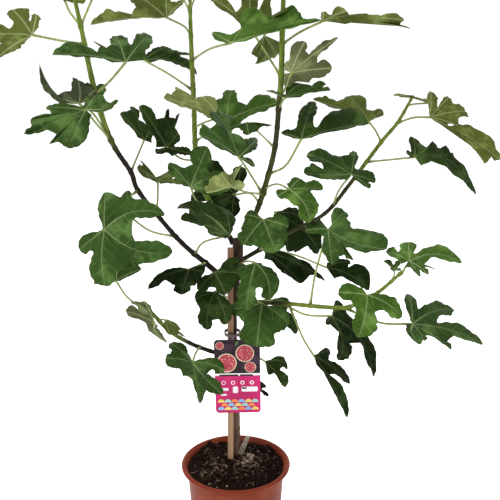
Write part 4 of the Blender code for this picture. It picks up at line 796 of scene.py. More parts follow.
def leaf_shape(name, base, outline):
    """A leaf's points in millimetres, its faces, and its corners' places along and off the ribs."""
    rng = random.Random(sum(map(ord, name)))
    ragged = rng.uniform(0.2, 1.0)
    root, spots, up = leaf_stand(base, outline)
    points, faces, places = [root], [], []

    def add(offset):
        """Add a point and return its number."""
        points.append(root + offset)
        return len(points) - 1

    inner = np.arange(1, NOTCH_ROWS + 1) / NOTCH_ROWS
    seams = [[0] + [add(spot * s) for s in inner] for spot in spots[::2]]
    for i in range(1, len(spots), 2):
        size = np.linalg.norm(spots[i])
        ahead = spots[i] / size
        bow = RIB_ARCH * size * up
        if len(outline[i]) > 5:
            middle = np.array(seen(*outline[i][5:])) - root
            bow = bow + middle - (middle @ ahead) * ahead
        starts = [spots[k] @ ahead for k in (i - 1, i + 1)]
        foot = min(0.75, max(0.10, 0.36 * sum(starts) / size))
        rows = int(min(MOST_ROWS, max(8, size / ROW_STEP)))
        outer = np.arange(1, rows + 1) / rows
        shares = [0, *(foot * inner), *(foot + (1 - foot) * outer ** 0.95)]
        rib = [ahead * size * s + bow * 4 * s * (1 - s) for s in shares]
        rib_marks = [0] + [add(p - RIB_GROOVE * up) for p in rib[1:-1]] + [add(spots[i])]
        for side, start, width in zip((-1, 1), starts, outline[i][3:5]):
            out = spots[i + side] - start * ahead
            height = np.linalg.norm(out)
            out /= height
            edge = [(start * s, height * s) for s in (0, *inner)]
            edge.extend(lobe_edge(start, height, width, size, rows, ragged, rng))
            wave, shift = rng.uniform(0, 6), rng.uniform(0, 12)
            seam = seams[(i + side) // 2]
            grid = []
            for r, (t, h) in enumerate(edge):
                free = min(1, max(0, r - NOTCH_ROWS) / 5)
                level = min(1, max(0, t / size))
                rim = ahead * t + out * h + bow * 4 * level * (1 - level) * free
                row = []
                for k, share in enumerate(COLUMNS):
                    along = shares[r] * size * (1 - share) + t * share
                    across = h * share
                    if k == 0 or r in (0, len(edge) - 1):
                        mark = rib_marks[r]
                    elif share == 1 and r <= NOTCH_ROWS:
                        mark = seam[r]
                    else:
                        lift = swelling(along, across, share, free, wave, size)
                        mark = add(rib[r] + (rim - rib[r]) * share + up * lift)
                    row.append((mark, (along + shift, across)))
                grid.append(row)
            for low, high in zip(grid, grid[1:]):
                for k in range(len(COLUMNS) - 1):
                    quad = [low[k], high[k], high[k + 1], low[k + 1]]
                    kept = [c for n, c in enumerate(quad) if c[0] != quad[n - 1][0]]
                    if len({c[0] for c in kept}) < 3:
                        continue
                    kept = kept[::-side]
                    faces.append([c[0] for c in kept])
                    places.extend(c[1] for c in kept)
    return np.array(points), faces, np.array(places) * MM


# %% [markdown]
# ## The skin of the leaf
# The upper face is deep green and shines softly, and pale patches of painted sheen lie over it. The
# underside is paler, duller and greyer, with raised ribs and the same pale patches of painted sheen.
# Both show pale ribs that taper towards the lobe's tip, finer side veins, and a net of tiny ones. One
# function makes both faces, for each tone of leaf, which stands for its age and partly for painted
# light and shade: `rib` runs along the lobe and `off` away from it, both in metres, as the UV map
# gives them.

# %% Leaf materials
# The tones are partly the leaves' own colour and age and partly painted light and shade: deep is painted
# shade on leaves that lie in shade inside the crown, and pale is painted light on undersides.
SHADES = {
    "deep": ((0.0030, 0.0076, 0.0010), (0.0072, 0.0190, 0.0030), (0.026, 0.034, 0.014), 0.30),
    "dark": ((0.0076, 0.0166, 0.0026), (0.0188, 0.0420, 0.0066), (0.034, 0.043, 0.019), 0.45),
    "mid": ((0.0119, 0.0306, 0.0043), (0.0282, 0.0686, 0.0106), (0.070, 0.085, 0.034), 0.70),
    "bright": ((0.020, 0.052, 0.004), (0.042, 0.098, 0.009), (0.070, 0.096, 0.018), 0.80),
    "olive": ((0.038, 0.052, 0.008), (0.080, 0.106, 0.018), (0.084, 0.106, 0.019), 0.75),
    "grey": ((0.020, 0.036, 0.010), (0.050, 0.072, 0.022), (0.100, 0.112, 0.048), 0.80),
    "pale": ((0.070, 0.090, 0.026), (0.140, 0.170, 0.050), (0.205, 0.240, 0.075), 1.0),
}
UPPER_VEIN = (0.34, 0.44, 0.18)
UNDER_VEIN = (0.38, 0.44, 0.21)
RIB_TAPER = 0.006
LEAST_RIB = 0.0003
VEIN_WAVER = 0.004


def leaf_skin(name, deep, light, vein, specular, gloss, vein_width):
    """One face of a leaf."""
    material, place = new_finish(name, specular)
    uv = add_node(place, "UVMap", 0, {}, uv_map="ribs")
    rib, off = axis(uv, 0), axis(uv, 1)
    mottle = speckle(place, 160, 3)
    body = tint(fade(speckle(place, 14, 4), 0.35, 0.68), deep, light)
    body = tint(mottle * 0.35, body, light)
    # Pale patches from noise are painted sheen: they stand in for soft reflections on the waxy skin.
    painted_sheen = tuple(1.5 * c + 0.16 * v for c, v in zip(light, vein))
    body = tint(fade(speckle(place, 30, 3), 0.50, 0.70) * 0.8, body, painted_sheen)
    width = calc("MAXIMUM", vein_width - rib * RIB_TAPER, LEAST_RIB)
    rib_line = fade(off / width, 1.25, 0.7)
    waver = speckle(place, 45, 2) * VEIN_WAVER
    phase = (rib - off * VEIN_SLANT + waver) / VEIN_PITCH
    apart = calc("ABSOLUTE", calc("FRACT", phase) - 0.5)
    side_line = fade(apart, 0.474, 0.496) * fade(off, 0.040, 0.006)
    net = fade(cells(place, 330, "DISTANCE_TO_EDGE"), 0.13, 0.02)
    for line, share in ((fade(off, 0.005, 0.0), 0.08), (net, 0.06), (side_line, 0.42), (rib_line, 0.85)):
        body = tint(line * share, body, vein)
    height = net * -0.35 + mottle * 0.5 - side_line * 0.8
    paint(material, Base_Color=body, Roughness=speckle(place, 70, 3) * 0.22 + gloss,
          Normal=relief(height, 0.0005))
    return material


leaf_finishes = {}
for shade, (deep, light, under, vein_light) in SHADES.items():
    rib_above = tuple(c * vein_light for c in UPPER_VEIN)
    rib_below = tuple(c * vein_light for c in UNDER_VEIN)
    under_deep = tuple(c * 0.66 for c in under)
    sheen = 0.005 + 0.07 * vein_light ** 2
    upper_face = leaf_skin(f"fig leaf {shade} upper face", deep, light, rib_above, sheen, 0.40, 0.00062)
    lower_face = leaf_skin(f"fig leaf {shade} underside", under_deep, under, rib_below, 0.02, 0.6, 0.0009)
    leaf_finishes[shade] = (upper_face, lower_face)
print("leaf finishes:", len(leaf_finishes) * 2)

# %% [markdown]
# ## Making the leaves
# All leaves of one stem become one piece, which stands for that stem's leaves in the construction
# model. The blades are laid down as single sheets, and one Solidify modifier then gives them
# thickness. Its material offset paints the new underside with the next material slot, so upper
# faces sit in even slots and undersides in odd ones.

# %% The leaves of a stem
def build_leaves(stem):
    """All blades of one stem as one piece."""
    points, faces, places, slots = [], [], [], []
    order = list(leaf_finishes)
    for name, _, base, outline, shade in LEAVES[stem]:
        leaf_points, leaf_faces, leaf_places = leaf_shape(name, base, outline)
        start = sum(len(p) for p in points)
        points.append(leaf_points)
        faces.extend([[start + k for k in face] for face in leaf_faces])
        places.append(leaf_places)
        slots.extend([2 * order.index(shade)] * len(leaf_faces))
    mesh = bpy.data.meshes.new(stem + "_leaves")
    mesh.from_pydata(np.vstack(points) * MM, [], faces)
    uv = mesh.uv_layers.new(name="ribs")
    uv.data.foreach_set("uv", np.vstack(places).astype(np.float32).ravel())
    for upper, lower in leaf_finishes.values():
        mesh.materials.append(upper)
        mesh.materials.append(lower)
    mesh.polygons.foreach_set("material_index", slots)
    mesh.shade_smooth()
    piece = put(stem + "_leaves", mesh)
    thick = piece.modifiers.new("thickness", "SOLIDIFY")
    thick.thickness = BLADE_THICKNESS * MM
    thick.offset = 0
    thick.material_offset = 1
    apply_modifier(piece, thick)
    finish_piece(piece, stem, stem)


for stem in STEMS:
    build_leaves(stem)

# %% [markdown]
# ## Stems and stalks
# A fig's stem is woody and dark at its foot, green and waxy near its tip, and ringed at each joint
# where a leaf has grown. A curve with a bevel would give the tube, but not the rings, the swollen
# joints or the change from bark to green. So rings of points are carried along the curve, each
# with its own radius, and a number on every point says how green the stem is there.

# %% Tubes
def tube_rings(path, radii, sides):
    """Rings across a path, carried along it without twist."""
    points = [Vector(p) for p in path]
    ahead = (points[1] - points[0]).normalized()
    across = ahead.cross(Vector((0.3, 1, 0.1))).normalized()
    rings = []
    for i, point in enumerate(points):
        before, after = points[max(i - 1, 0)], points[min(i + 1, len(points) - 1)]
        ahead = (after - before).normalized()
        across = (across - across.dot(ahead) * ahead).normalized()
        beside = ahead.cross(across)
        turns = [2 * math.pi * k / sides for k in range(sides)]
        radius = float(radii[i])
        rings.append([point + radius * (math.cos(t) * across + math.sin(t) * beside) for t in turns])
    return rings


def wall_faces(start, rings, sides):
    """The faces between rings of points that follow one another."""
    return [(low + k, low + (k + 1) % sides, low + sides + (k + 1) % sides, low + sides + k)
            for low in range(start, start + (rings - 1) * sides, sides) for k in range(sides)]


def add_tube(parts, path, radii, sides, green, slot=0):
    """Add a closed tube to the lists of points, faces, green shares and slots."""
    rings = tube_rings(path, radii, sides)
    start = len(parts["points"])
    for ring, share in zip(rings, green):
        parts["points"].extend(ring)
        parts["green"].extend([float(share)] * sides)
    last = start + (len(rings) - 1) * sides
    faces = wall_faces(start, len(rings), sides)
    faces.append(tuple(start + k for k in reversed(range(sides))))
    faces.append(tuple(last + k for k in range(sides)))
    parts["faces"].extend(faces)
    parts["slots"].extend([slot] * len(faces))


def empty_parts():
    """Lists that tubes and lumps are added to."""
    return {"points": [], "faces": [], "green": [], "slots": []}


def mesh_of(name, parts, materials):
    """One object from the collected parts."""
    mesh = bpy.data.meshes.new(name)
    mesh.from_pydata(np.array(parts["points"], float) * MM, [], parts["faces"])
    green = mesh.attributes.new("green", "FLOAT", "POINT")
    green.data.foreach_set("value", np.array(parts["green"], np.float32))
    for material in materials:
        mesh.materials.append(material)
    mesh.polygons.foreach_set("material_index", parts["slots"])
    mesh.shade_smooth()
    return put(name, mesh)


# %% [markdown]
# Bark and green skin are one material, because on a fig the one grows over the other. The number
# `green` on the points is roughened by noise, so the change has ragged edges. Small pale pores dot
# the bark, which is darker higher up, and the green part has faint streaks along the stem.

# %% Bark and stalk materials
DARK_BARK = (0.012, 0.008, 0.006)
PORE = (0.16, 0.13, 0.10)


def stem_finish(name, bark_deep, bark_light, fresh_deep, fresh_light):
    """Bark that turns into green skin where the points say so."""
    material, place = new_finish(name, 0.12)
    grain = speckle(stretched(place, 1, 1, 0.25), 420, 5, 0.65)
    broad = speckle(place, 38, 3)
    pores = fade(cells(stretched(place, 1, 1, 0.55), 240), 0.20, 0.10)
    bark = tint(fade(grain, 0.32, 0.72), bark_deep, bark_light)
    bark = tint(fade(broad, 0.45, 0.75) * 0.5, bark, bark_light)
    bark = tint(pores * 0.45, bark, PORE)
    bark = tint(fade(axis(place, 2), 0.23, 0.36) * 0.72, bark, DARK_BARK)
    streaks = speckle(stretched(place, 1, 1, 0.12), 300, 3)
    fresh = tint(fade(streaks, 0.3, 0.7), fresh_deep, fresh_light)
    green = add_node(place, "Attribute", "Fac", {}, attribute_name="green")
    share = fade(green + (broad - 0.5) * 0.5, 0.20, 0.80)
    paint(material, Base_Color=tint(share, bark, fresh), Roughness=grain * 0.2 + 0.72 - share * 0.38,
          Normal=relief(grain + pores * 0.6, 0.0006))
    return material


dark_bark = stem_finish("dark stem bark and green skin", (0.018, 0.013, 0.008), (0.060, 0.045, 0.026),
                        (0.075, 0.115, 0.012), (0.150, 0.200, 0.028))
trunk_bark = stem_finish("grey-brown trunk bark", (0.078, 0.045, 0.031), (0.190, 0.122, 0.090),
                         (0.12, 0.14, 0.04), (0.20, 0.20, 0.08))
stalk_skin = stem_finish("pale leaf stalk", (0.12, 0.14, 0.05), (0.18, 0.20, 0.08),
                         (0.18, 0.225, 0.06), (0.29, 0.33, 0.12))

# %% Stems with joints, stalks and end buds
JOINT_SPACING = 27
# How far along a stem its bark gives way to green skin, and the least share of green below that
GREEN_FROM = {"stem_left": 0.60, "stem_centre_left": 0.12, "stem_centre_right": 0.55,
              "stem_right": 0.62, "stem_low_right": 0.30, "stem_low_left": 0.52}
GREEN_LEAST = {"stem_centre_right": 0.36, "stem_right": 0.34, "stem_low_right": 0.46}
STALK_SIDES = 10
STEM_SIDES = 18
STALK_FOOT = 3.0
STALK_MIDDLE = 1.7
STALK_HEAD = 2.0
STALK_UNDER = 0.9
STALK_END_UNDER = 1.7
STALK_REACH = 5
STEM_STEP = 2.2
# Swellings of a stem at a joint, under a leaf and at its foot: the share of its radius, and the width
AT_JOINT = (0.13, 2.2)
AT_LEAF = (0.18, 3.5)
AT_FOOT = (0.35, 9)
# Rings of the bud: how far each lies beyond the end of its stem, and its share of the radius there
BUD_RINGS = ((-2, 0.9), (0, 1.15), (2, 1.3), (5, 1.2), (9, 0.75), (12, 0.3), (13.5, 0.05))
BUD_SIDES = 12


def stem_run(name, step):
    """A stem's curve with even steps, its radii, and the distance along it."""
    curve = smooth_curve([(*seen(x, z, y), radius) for x, z, y, radius in STEMS[name]], 10)
    gaps = np.linalg.norm(np.diff(curve[:, :3], axis=0), axis=1)
    run = np.concatenate([[0], np.cumsum(gaps)])
    marks = np.linspace(0, run[-1], max(4, round(run[-1] / step)))
    even = np.stack([np.interp(marks, run, column) for column in curve.T], axis=1)
    return even[:, :3], even[:, 3], marks


def swollen(radii, run, mark, more, width):
    """Radii with a swelling round a mark."""
    return radii * (1 + more * np.exp(-((run - mark) / width) ** 2))


def add_stalks(parts, stem, slot):
    """Each leaf's stalk: thick where it leaves the stem, slim, then thicker again at the blade."""
    for _, stalk, base, outline, _ in LEAVES[stem]:
        root, spots, up = leaf_stand(base, outline)
        tips = spots[1::2]
        ahead = sum(tips) / np.linalg.norm(sum(tips))
        rows = [tuple(seen(*p)) for p in stalk] + [tuple(root - STALK_UNDER * up)]
        path = smooth_curve(rows, 9)
        path = np.vstack([path, root - STALK_END_UNDER * up + ahead * STALK_REACH])
        t = np.linspace(0, 1, len(path))
        radii = STALK_MIDDLE + (STALK_FOOT - STALK_MIDDLE) * np.exp(-(t / 0.10) ** 2)
        radii = radii + (STALK_HEAD - STALK_MIDDLE) * np.clip((t - 0.75) / 0.2, 0, 1)
        radii[-1] = 0.5
        scale = min(1.0, 0.55 + max(np.linalg.norm(p) for p in tips) / 220)
        green = 0.25 + 0.75 * np.clip(t * 4, 0, 1)
        add_tube(parts, path, radii * scale, STALK_SIDES, green, slot)


def add_bud(parts, path, radii, slot):
    """The pointed bud at the end of a stem."""
    tip, ahead = Vector(path[-1]), (Vector(path[-1]) - Vector(path[-4])).normalized()
    radius = float(radii[-1])
    spots = [tip + ahead * beyond for beyond, _ in BUD_RINGS]
    sizes = [radius * share for _, share in BUD_RINGS]
    add_tube(parts, spots, sizes, BUD_SIDES, [1] * len(BUD_RINGS), slot)


def build_stem(stem):
    """A stem with its joints, stalks and bud as one piece."""
    path, radii, run = stem_run(stem, STEM_STEP)
    for mark in np.arange(JOINT_SPACING * 0.7, run[-1], JOINT_SPACING):
        radii = swollen(radii, run, mark, *AT_JOINT)
    for _, stalk, *_ in LEAVES[stem]:
        mark = run[np.argmin(np.linalg.norm(path - np.array(seen(*stalk[0])), axis=1))]
        radii = swollen(radii, run, mark, *AT_LEAF)
    radii = swollen(radii, run, 0, *AT_FOOT)
    green = np.clip((run / run[-1] - GREEN_FROM[stem]) * 6 + 0.5, GREEN_LEAST.get(stem, 0), 1)
    parts = empty_parts()
    add_tube(parts, path, radii, STEM_SIDES, green)
    add_stalks(parts, stem, 1)
    add_bud(parts, path, radii, 0)
    finish_piece(mesh_of(stem + "_wood", parts, [dark_bark, stalk_skin]), stem, stem)


for stem in STEMS:
    if stem != "trunk":
        build_stem(stem)

# %% [markdown]
# ## The trunk
# The trunk is older than the stems: grey-brown, thicker at its foot, with the stub of a stem that
# was pruned off beside it. Its bark is uneven, so its points are pushed in and out by noise. The
# stub ends in a flat cut with pale wood.

# %% Trunk and stub
TRUNK_SIDES = 28
STUB_SIDES = 20
TRUNK_STEP = 2.0
FIRST_JOINT = 95
TRUNK_JOINT_SPACING = 38
AT_TRUNK_JOINT = (0.07, 3)
STUB = [(8, 13, 164, 6.2), (11, 11.5, 172, 5.4), (14.5, 9.5, 181, 4.7), (18, 8, 190, 4.3),
        (21, 7, 198, 4.0)]
BARK_ROUGH = 0.55
BARK_GRAIN = 0.22

cut_wood = two_tone("dry cut wood", 0.3, 0.85, (0.26, 0.19, 0.12), (0.46, 0.37, 0.25), 600)
stub_bark = two_tone("dry bark of the stub", 0.08, 0.85, (0.15, 0.12, 0.09), (0.34, 0.29, 0.22), 240,
                     span=(0.35, 0.65))


def add_bark_tube(parts, path, radii, sides, amount):
    """A tube whose points are pushed in and out by noise."""
    first = len(parts["points"])
    add_tube(parts, path, radii, sides, [0] * len(path))
    for i, p in enumerate(parts["points"][first:]):
        push = noise.noise(Vector((p.x * BARK_GRAIN, p.y * BARK_GRAIN, p.z * BARK_GRAIN * 0.35)))
        centre = Vector(path[i // sides])
        parts["points"][first + i] = p + (p - centre).normalized() * push * amount


path, radii, run = stem_run("trunk", TRUNK_STEP)
for mark in np.arange(FIRST_JOINT, run[-1], TRUNK_JOINT_SPACING):
    radii = swollen(radii, run, mark, *AT_TRUNK_JOINT)
trunk_parts = empty_parts()
add_bark_tube(trunk_parts, path, radii, TRUNK_SIDES, BARK_ROUGH * 2)
stub_curve = smooth_curve(STUB, 6)
stub_start = len(trunk_parts["slots"])
add_bark_tube(trunk_parts, stub_curve[:, :3], stub_curve[:, 3], STUB_SIDES, BARK_ROUGH)
trunk_parts["slots"][stub_start:] = [3] * (len(trunk_parts["slots"]) - stub_start)
trunk_parts["slots"][-1] = 2
add_stalks(trunk_parts, "trunk", 1)
trunk = mesh_of("trunk_wood", trunk_parts, [trunk_bark, stalk_skin, cut_wood, stub_bark])
finish_piece(trunk, "trunk", "trunk")

# %% [markdown]
# ## The pot
# A nursery pot is one thin shell of plastic with a rolled rim and holes in its floor. It is made
# here as by hand: a circle of edges is drawn up in rings, each ring scaled to the shell's radius,
# out over the rim and down again inside. The floor's holes are cut with a Boolean modifier.

# %% Pot shell
POT_HEIGHT = 155
RIM_RADIUS = 95
RIM_DEPTH = 7
POT_TOP_RADIUS = 85.5
POT_FOOT_RADIUS = 75
POT_WALL = 1.8
POT_FLOOR = 2.4
POT_SIDES = 160
DRAIN_HOLES = 8
DRAIN_HOLE_RADIUS = 5
DRAIN_RING_RADIUS = 48
NECK = POT_HEIGHT - RIM_DEPTH


def pot_inner_radius(height):
    """The pot's inner radius at a height."""
    if height < NECK:
        return POT_FOOT_RADIUS + (POT_TOP_RADIUS - POT_FOOT_RADIUS) * height / NECK - POT_WALL
    return POT_TOP_RADIUS - POT_WALL + 4.8 * (height - NECK) / RIM_DEPTH


foot, top, rim = POT_FOOT_RADIUS, POT_TOP_RADIUS, RIM_RADIUS
mouth = pot_inner_radius(POT_HEIGHT)
profile = [(foot - 2.0, 0), (foot - 0.6, 0.3), (foot, 1.5), (foot + 0.8, 14), (top - 1.7, NECK - 10.4),
           (top - 1.4, NECK - 9.6), (top - 0.6, NECK - 9), (top - 0.3, NECK - 8), (top, NECK - 1.5),
           (top + 1.2, NECK), (rim - 4, NECK + 0.2), (rim - 1.4, NECK + 0.9), (rim - 0.3, NECK + 2.2),
           (rim, NECK + 3.8), (rim - 0.4, POT_HEIGHT - 1.9), (rim - 1.5, POT_HEIGHT - 0.7),
           (rim - 3.3, POT_HEIGHT), (mouth + 1.6, POT_HEIGHT - 0.2), (mouth + 0.2, POT_HEIGHT - 1.2)]
profile.extend((pot_inner_radius(h), h) for h in (POT_HEIGHT - 3, NECK, 70, POT_FLOOR + 2))
profile.append((pot_inner_radius(POT_FLOOR) - 2, POT_FLOOR))
bpy.ops.mesh.primitive_circle_add(vertices=POT_SIDES, radius=profile[0][0] * MM, fill_type="NGON",
                                  location=(0, 0, profile[0][1] * MM))
pot = bpy.context.active_object
pot.name = "nursery_pot"
bpy.ops.object.mode_set(mode="EDIT")
bpy.ops.mesh.select_mode(type="EDGE")
bpy.ops.mesh.select_all(action="SELECT")
for (radius, height), (next_radius, next_height) in zip(profile, profile[1:]):
    bpy.ops.mesh.extrude_edges_move(
        TRANSFORM_OT_translate={"value": (0, 0, (next_height - height) * MM)})
    ratio = next_radius / radius
    bpy.ops.transform.resize(value=(ratio, ratio, 1), center_override=(0, 0, next_height * MM))
bpy.ops.mesh.edge_face_add()
bpy.ops.mesh.select_all(action="SELECT")
bpy.ops.mesh.normals_make_consistent(inside=False)
bpy.ops.object.mode_set(mode="OBJECT")
bpy.ops.object.transform_apply(location=True)
pot.select_set(False)
print("pot outside radius:", round(max(v.co.x for v in pot.data.vertices) / MM, 1), "mm")

# %% Drain holes
bpy.ops.object.select_all(action="DESELECT")
drills = []
for k in range(DRAIN_HOLES):
    turn = 2 * math.pi * (k + 0.5) / DRAIN_HOLES
    spot = (DRAIN_RING_RADIUS * math.cos(turn) * MM, DRAIN_RING_RADIUS * math.sin(turn) * MM, 0)
    bpy.ops.mesh.primitive_cylinder_add(vertices=24, radius=DRAIN_HOLE_RADIUS * MM, depth=0.02,
                                        location=spot)
    drills.append(bpy.context.active_object)
drill = drills.pop()
join(drill, *drills)
bpy.ops.object.transform_apply(location=True)
drill.select_set(False)
holes = pot.modifiers.new("holes", "BOOLEAN")
holes.operation = "DIFFERENCE"
holes.object = drill
apply_modifier(pot, holes)
bpy.data.objects.remove(drill)
smooth(pot, 50)

# %% [markdown]
# The plastic is the colour of fired clay. It isn't quite even: it is a little mottled, and it has
# fine marks round the wall and dust from the nursery.

# %% Terracotta plastic
pot_finish, place = new_finish("terracotta-coloured plastic", 0.06)
soft = speckle(place, 16, 3)
fine = speckle(place, 210, 4)
around = speckle(stretched(place, 0.15, 0.15, 3.0), 180, 3)
body = tint(fade(soft, 0.35, 0.7), (0.132, 0.018, 0.007), (0.186, 0.028, 0.010))
body = tint(fine * 0.25, body, (0.25, 0.065, 0.032))
body = tint(fade(soft * around, 0.25, 0.5) * 0.20, body, (0.32, 0.15, 0.09))
paint(pot_finish, Base_Color=body, Roughness=around * 0.22 + 0.34,
      Normal=relief(around * 0.6 + fine, 0.0002))
pot.data.materials.append(pot_finish)
finish_piece(pot, "pot", "pot")

# %% [markdown]
# ## The soil
# Potting soil is a dark crumbly ground of peat, bark and root fibres. One closed body with a finely
# broken top gives the ground. Crumbs, pale bits of wood, tufts of moss and thin curved fibres are
# then scattered on it with a seeded random draw. They are all one more piece, and each crumb has
# 80 faces.

# %% Soil body
SOIL_EDGE_HEIGHT = 146
SOIL_MOUND = 15
SOIL_LUMP = 2.2
SOIL_TURNS = 150
SOIL_RINGS = 62
SOIL_GAP = 0.35
SOIL_HEAPS = ((-52, 62, 17, 8), (60, 54, 14, 8), (-72, -22, 16, 3), (68, -30, 18, 3), (74, 20, 14, 4))


def soil_height(x, y):
    """The soil's surface: a low mound with lumps, as the construction model has it."""
    reach = math.hypot(x, y) / POT_TOP_RADIUS
    mound = SOIL_MOUND * (1 - reach ** 2) ** 2 if reach < 1 else 0
    lumps = (math.sin(0.21 * x + 1.3) * math.sin(0.19 * y + 0.4) + 0.7 * math.sin(0.43 * x - 0.31 * y)
             + 0.5 * math.sin(0.57 * y + 0.37 * x + 2))
    return SOIL_EDGE_HEIGHT + mound + SOIL_LUMP * lumps * 0.6


def crumbly_height(x, y):
    """The soil's surface with its crumbs."""
    rough = (1.5 * noise.noise(Vector((x * 0.16, y * 0.16, 3.0)))
             + 1.2 * abs(noise.noise(Vector((x * 0.38, y * 0.38, 7.0))))
             + 0.6 * noise.noise(Vector((x * 0.9, y * 0.9, 1.0))))
    heaps = sum(h * math.exp(-((x - a) ** 2 + (y - b) ** 2) / w ** 2) for a, b, w, h in SOIL_HEAPS)
    return soil_height(x, y) + 2.1 * rough - 0.5 + heaps


soil_points = []
edge = pot_inner_radius(NECK - 2) - SOIL_GAP
walls = [(pot_inner_radius(h) - SOIL_GAP, h) for h in (POT_FLOOR + SOIL_GAP, 60, NECK - 6)]
turns = [2 * math.pi * k / SOIL_TURNS for k in range(SOIL_TURNS)]
for radius, height in walls:
    soil_points.extend((radius * math.cos(t), radius * math.sin(t), height) for t in turns)
for ring in range(SOIL_RINGS):
    radius = edge * (1 - ring / SOIL_RINGS)
    for t in turns:
        x, y = radius * math.cos(t), radius * math.sin(t)
        soil_points.append((x, y, crumbly_height(x, y)))
ring_count = len(walls) + SOIL_RINGS
last = (ring_count - 1) * SOIL_TURNS
soil_points.append((0, 0, crumbly_height(0, 0)))
soil_faces = wall_faces(0, ring_count, SOIL_TURNS)
soil_faces.append(tuple(reversed(range(SOIL_TURNS))))
soil_faces.extend((last + k, last + (k + 1) % SOIL_TURNS, len(soil_points) - 1)
                  for k in range(SOIL_TURNS))
soil_mesh = bpy.data.meshes.new("soil")
soil_mesh.from_pydata(np.array(soil_points) * MM, [], soil_faces)
soil_mesh.shade_smooth()
soil = put("soil", soil_mesh)

# %% Soil material
soil_finish, place = new_finish("dark potting soil", 0.02)
broad = speckle(place, 55, 4)
fine = speckle(place, 480, 5, 0.7)
body = tint(fade(fine, 0.35, 0.7), (0.004, 0.0022, 0.002), (0.018, 0.0095, 0.007))
body = tint(fade(broad, 0.5, 0.75) * 0.45, body, (0.030, 0.016, 0.011))
body = tint(fade(cells(place, 420), 0.16, 0.08) * 0.5, body, (0.20, 0.13, 0.08))
paint(soil_finish, Base_Color=body, Roughness=fine * 0.2 + 0.75, Normal=relief(fine + broad, 0.002, 0.8))
soil.data.materials.append(soil_finish)
finish_piece(soil, "potting_soil", "potting_soil")

# %% Crumbs, bark bits and fibres
CRUMBS = 760
PALE_BITS = 80
MOSS_BITS = 110
FIBRES = 240
SOIL_REACH = 81
# Places without litter: the feet of the trunk and of the stake, each as x, y and radius
KEPT_CLEAR = ((2, 15, 11), (-9, 2, 9))
WOOD_CHIPS = ((22, 14), (29, 9), (27, 2), (17, -8), (13, -16), (20, -14))
# How thick a fibre is at each of its points, as a share of its thickest one
FIBRE_TAPER = (0.4, 0.8, 1, 1, 1, 0.9, 0.7, 0.3)
FIBRE_SPANS = len(FIBRE_TAPER) - 1

LITTER_FINISHES = [
    two_tone("peat crumbs", 0.02, 0.9, (0.005, 0.0028, 0.0024), (0.026, 0.0135, 0.0095), 260,
             span=(0.35, 0.7)),
    two_tone("wood bits in the soil", 0.1, 0.8, (0.13, 0.09, 0.06), (0.36, 0.28, 0.21), 330,
             span=(0.3, 0.7)),
    two_tone("root fibres", 0.1, 0.8, (0.075, 0.045, 0.032), (0.30, 0.215, 0.155), 90, 3, (0.35, 0.65)),
    two_tone("moss and algae", 0.1, 0.85, (0.022, 0.020, 0.006), (0.095, 0.082, 0.022), 260),
]
CRUMB, WOOD, FIBRE, MOSS = range(4)

bpy.ops.mesh.primitive_ico_sphere_add(subdivisions=2, radius=1)
crumb_model = bpy.context.active_object
crumb_points = np.array([v.co for v in crumb_model.data.vertices])
crumb_faces = [tuple(p.vertices) for p in crumb_model.data.polygons]
bpy.data.objects.remove(crumb_model)
rng = random.Random(11)
litter = empty_parts()


def soil_spot(reach=SOIL_REACH):
    """A random place on the soil, clear of the trunk and the stake."""
    while True:
        radius, turn = reach * math.sqrt(rng.random()), rng.uniform(0, 2 * math.pi)
        x, y = radius * math.cos(turn), radius * math.sin(turn)
        if all(math.hypot(x - a, y - b) > clear for a, b, clear in KEPT_CLEAR):
            return x, y


def add_crumb(x, y, sizes, slot):
    """A rough lump, turned at random."""
    turn = rng.uniform(0, math.pi)
    seed = rng.uniform(0, 99)
    start = len(litter["points"])
    for p in crumb_points:
        swell = 1 + 0.45 * noise.noise(Vector(p) * 1.3 + Vector((seed, 0, 0)))
        a, b, c = (p * swell) * sizes
        litter["points"].append((x + a * math.cos(turn) - b * math.sin(turn),
                                 y + a * math.sin(turn) + b * math.cos(turn),
                                 crumbly_height(x, y) + c + 0.2 * sizes[2]))
    litter["faces"].extend(tuple(start + k for k in face) for face in crumb_faces)
    litter["slots"].extend([slot] * len(crumb_faces))
    litter["green"].extend([0] * len(crumb_points))


for _ in range(CRUMBS):
    size = rng.uniform(0.9, 2.5) * (rng.uniform(1.7, 2.3) if rng.random() < 0.14 else 1)
    add_crumb(*soil_spot(), (size, size * rng.uniform(0.6, 1), size * rng.uniform(0.5, 0.9)), CRUMB)
for k in range(PALE_BITS):
    x, y = soil_spot()
    if k < PALE_BITS * 0.4:
        x, y = rng.gauss(24, 9), rng.gauss(-2, 9)
    size = rng.uniform(1.2, 3.0)
    add_crumb(x, y, (size, size * rng.uniform(0.25, 0.6), size * rng.uniform(0.2, 0.45)), WOOD)
for k, (x, y) in enumerate(WOOD_CHIPS):
    add_crumb(x, y, (6.5 - 0.6 * k, 4.2 - 0.3 * k, 3.0 - 0.2 * k), WOOD)
for k in range(MOSS_BITS):
    x, y = rng.gauss(-50, 8), rng.gauss(34, 8)
    if k % 2:
        x, y = rng.gauss(-52, 7), rng.gauss(-38, 7)
    if math.hypot(x, y) < SOIL_REACH - 2:
        size = rng.uniform(0.6, 1.4)
        add_crumb(x, y, (size, size * 0.7, size * 0.7), MOSS)
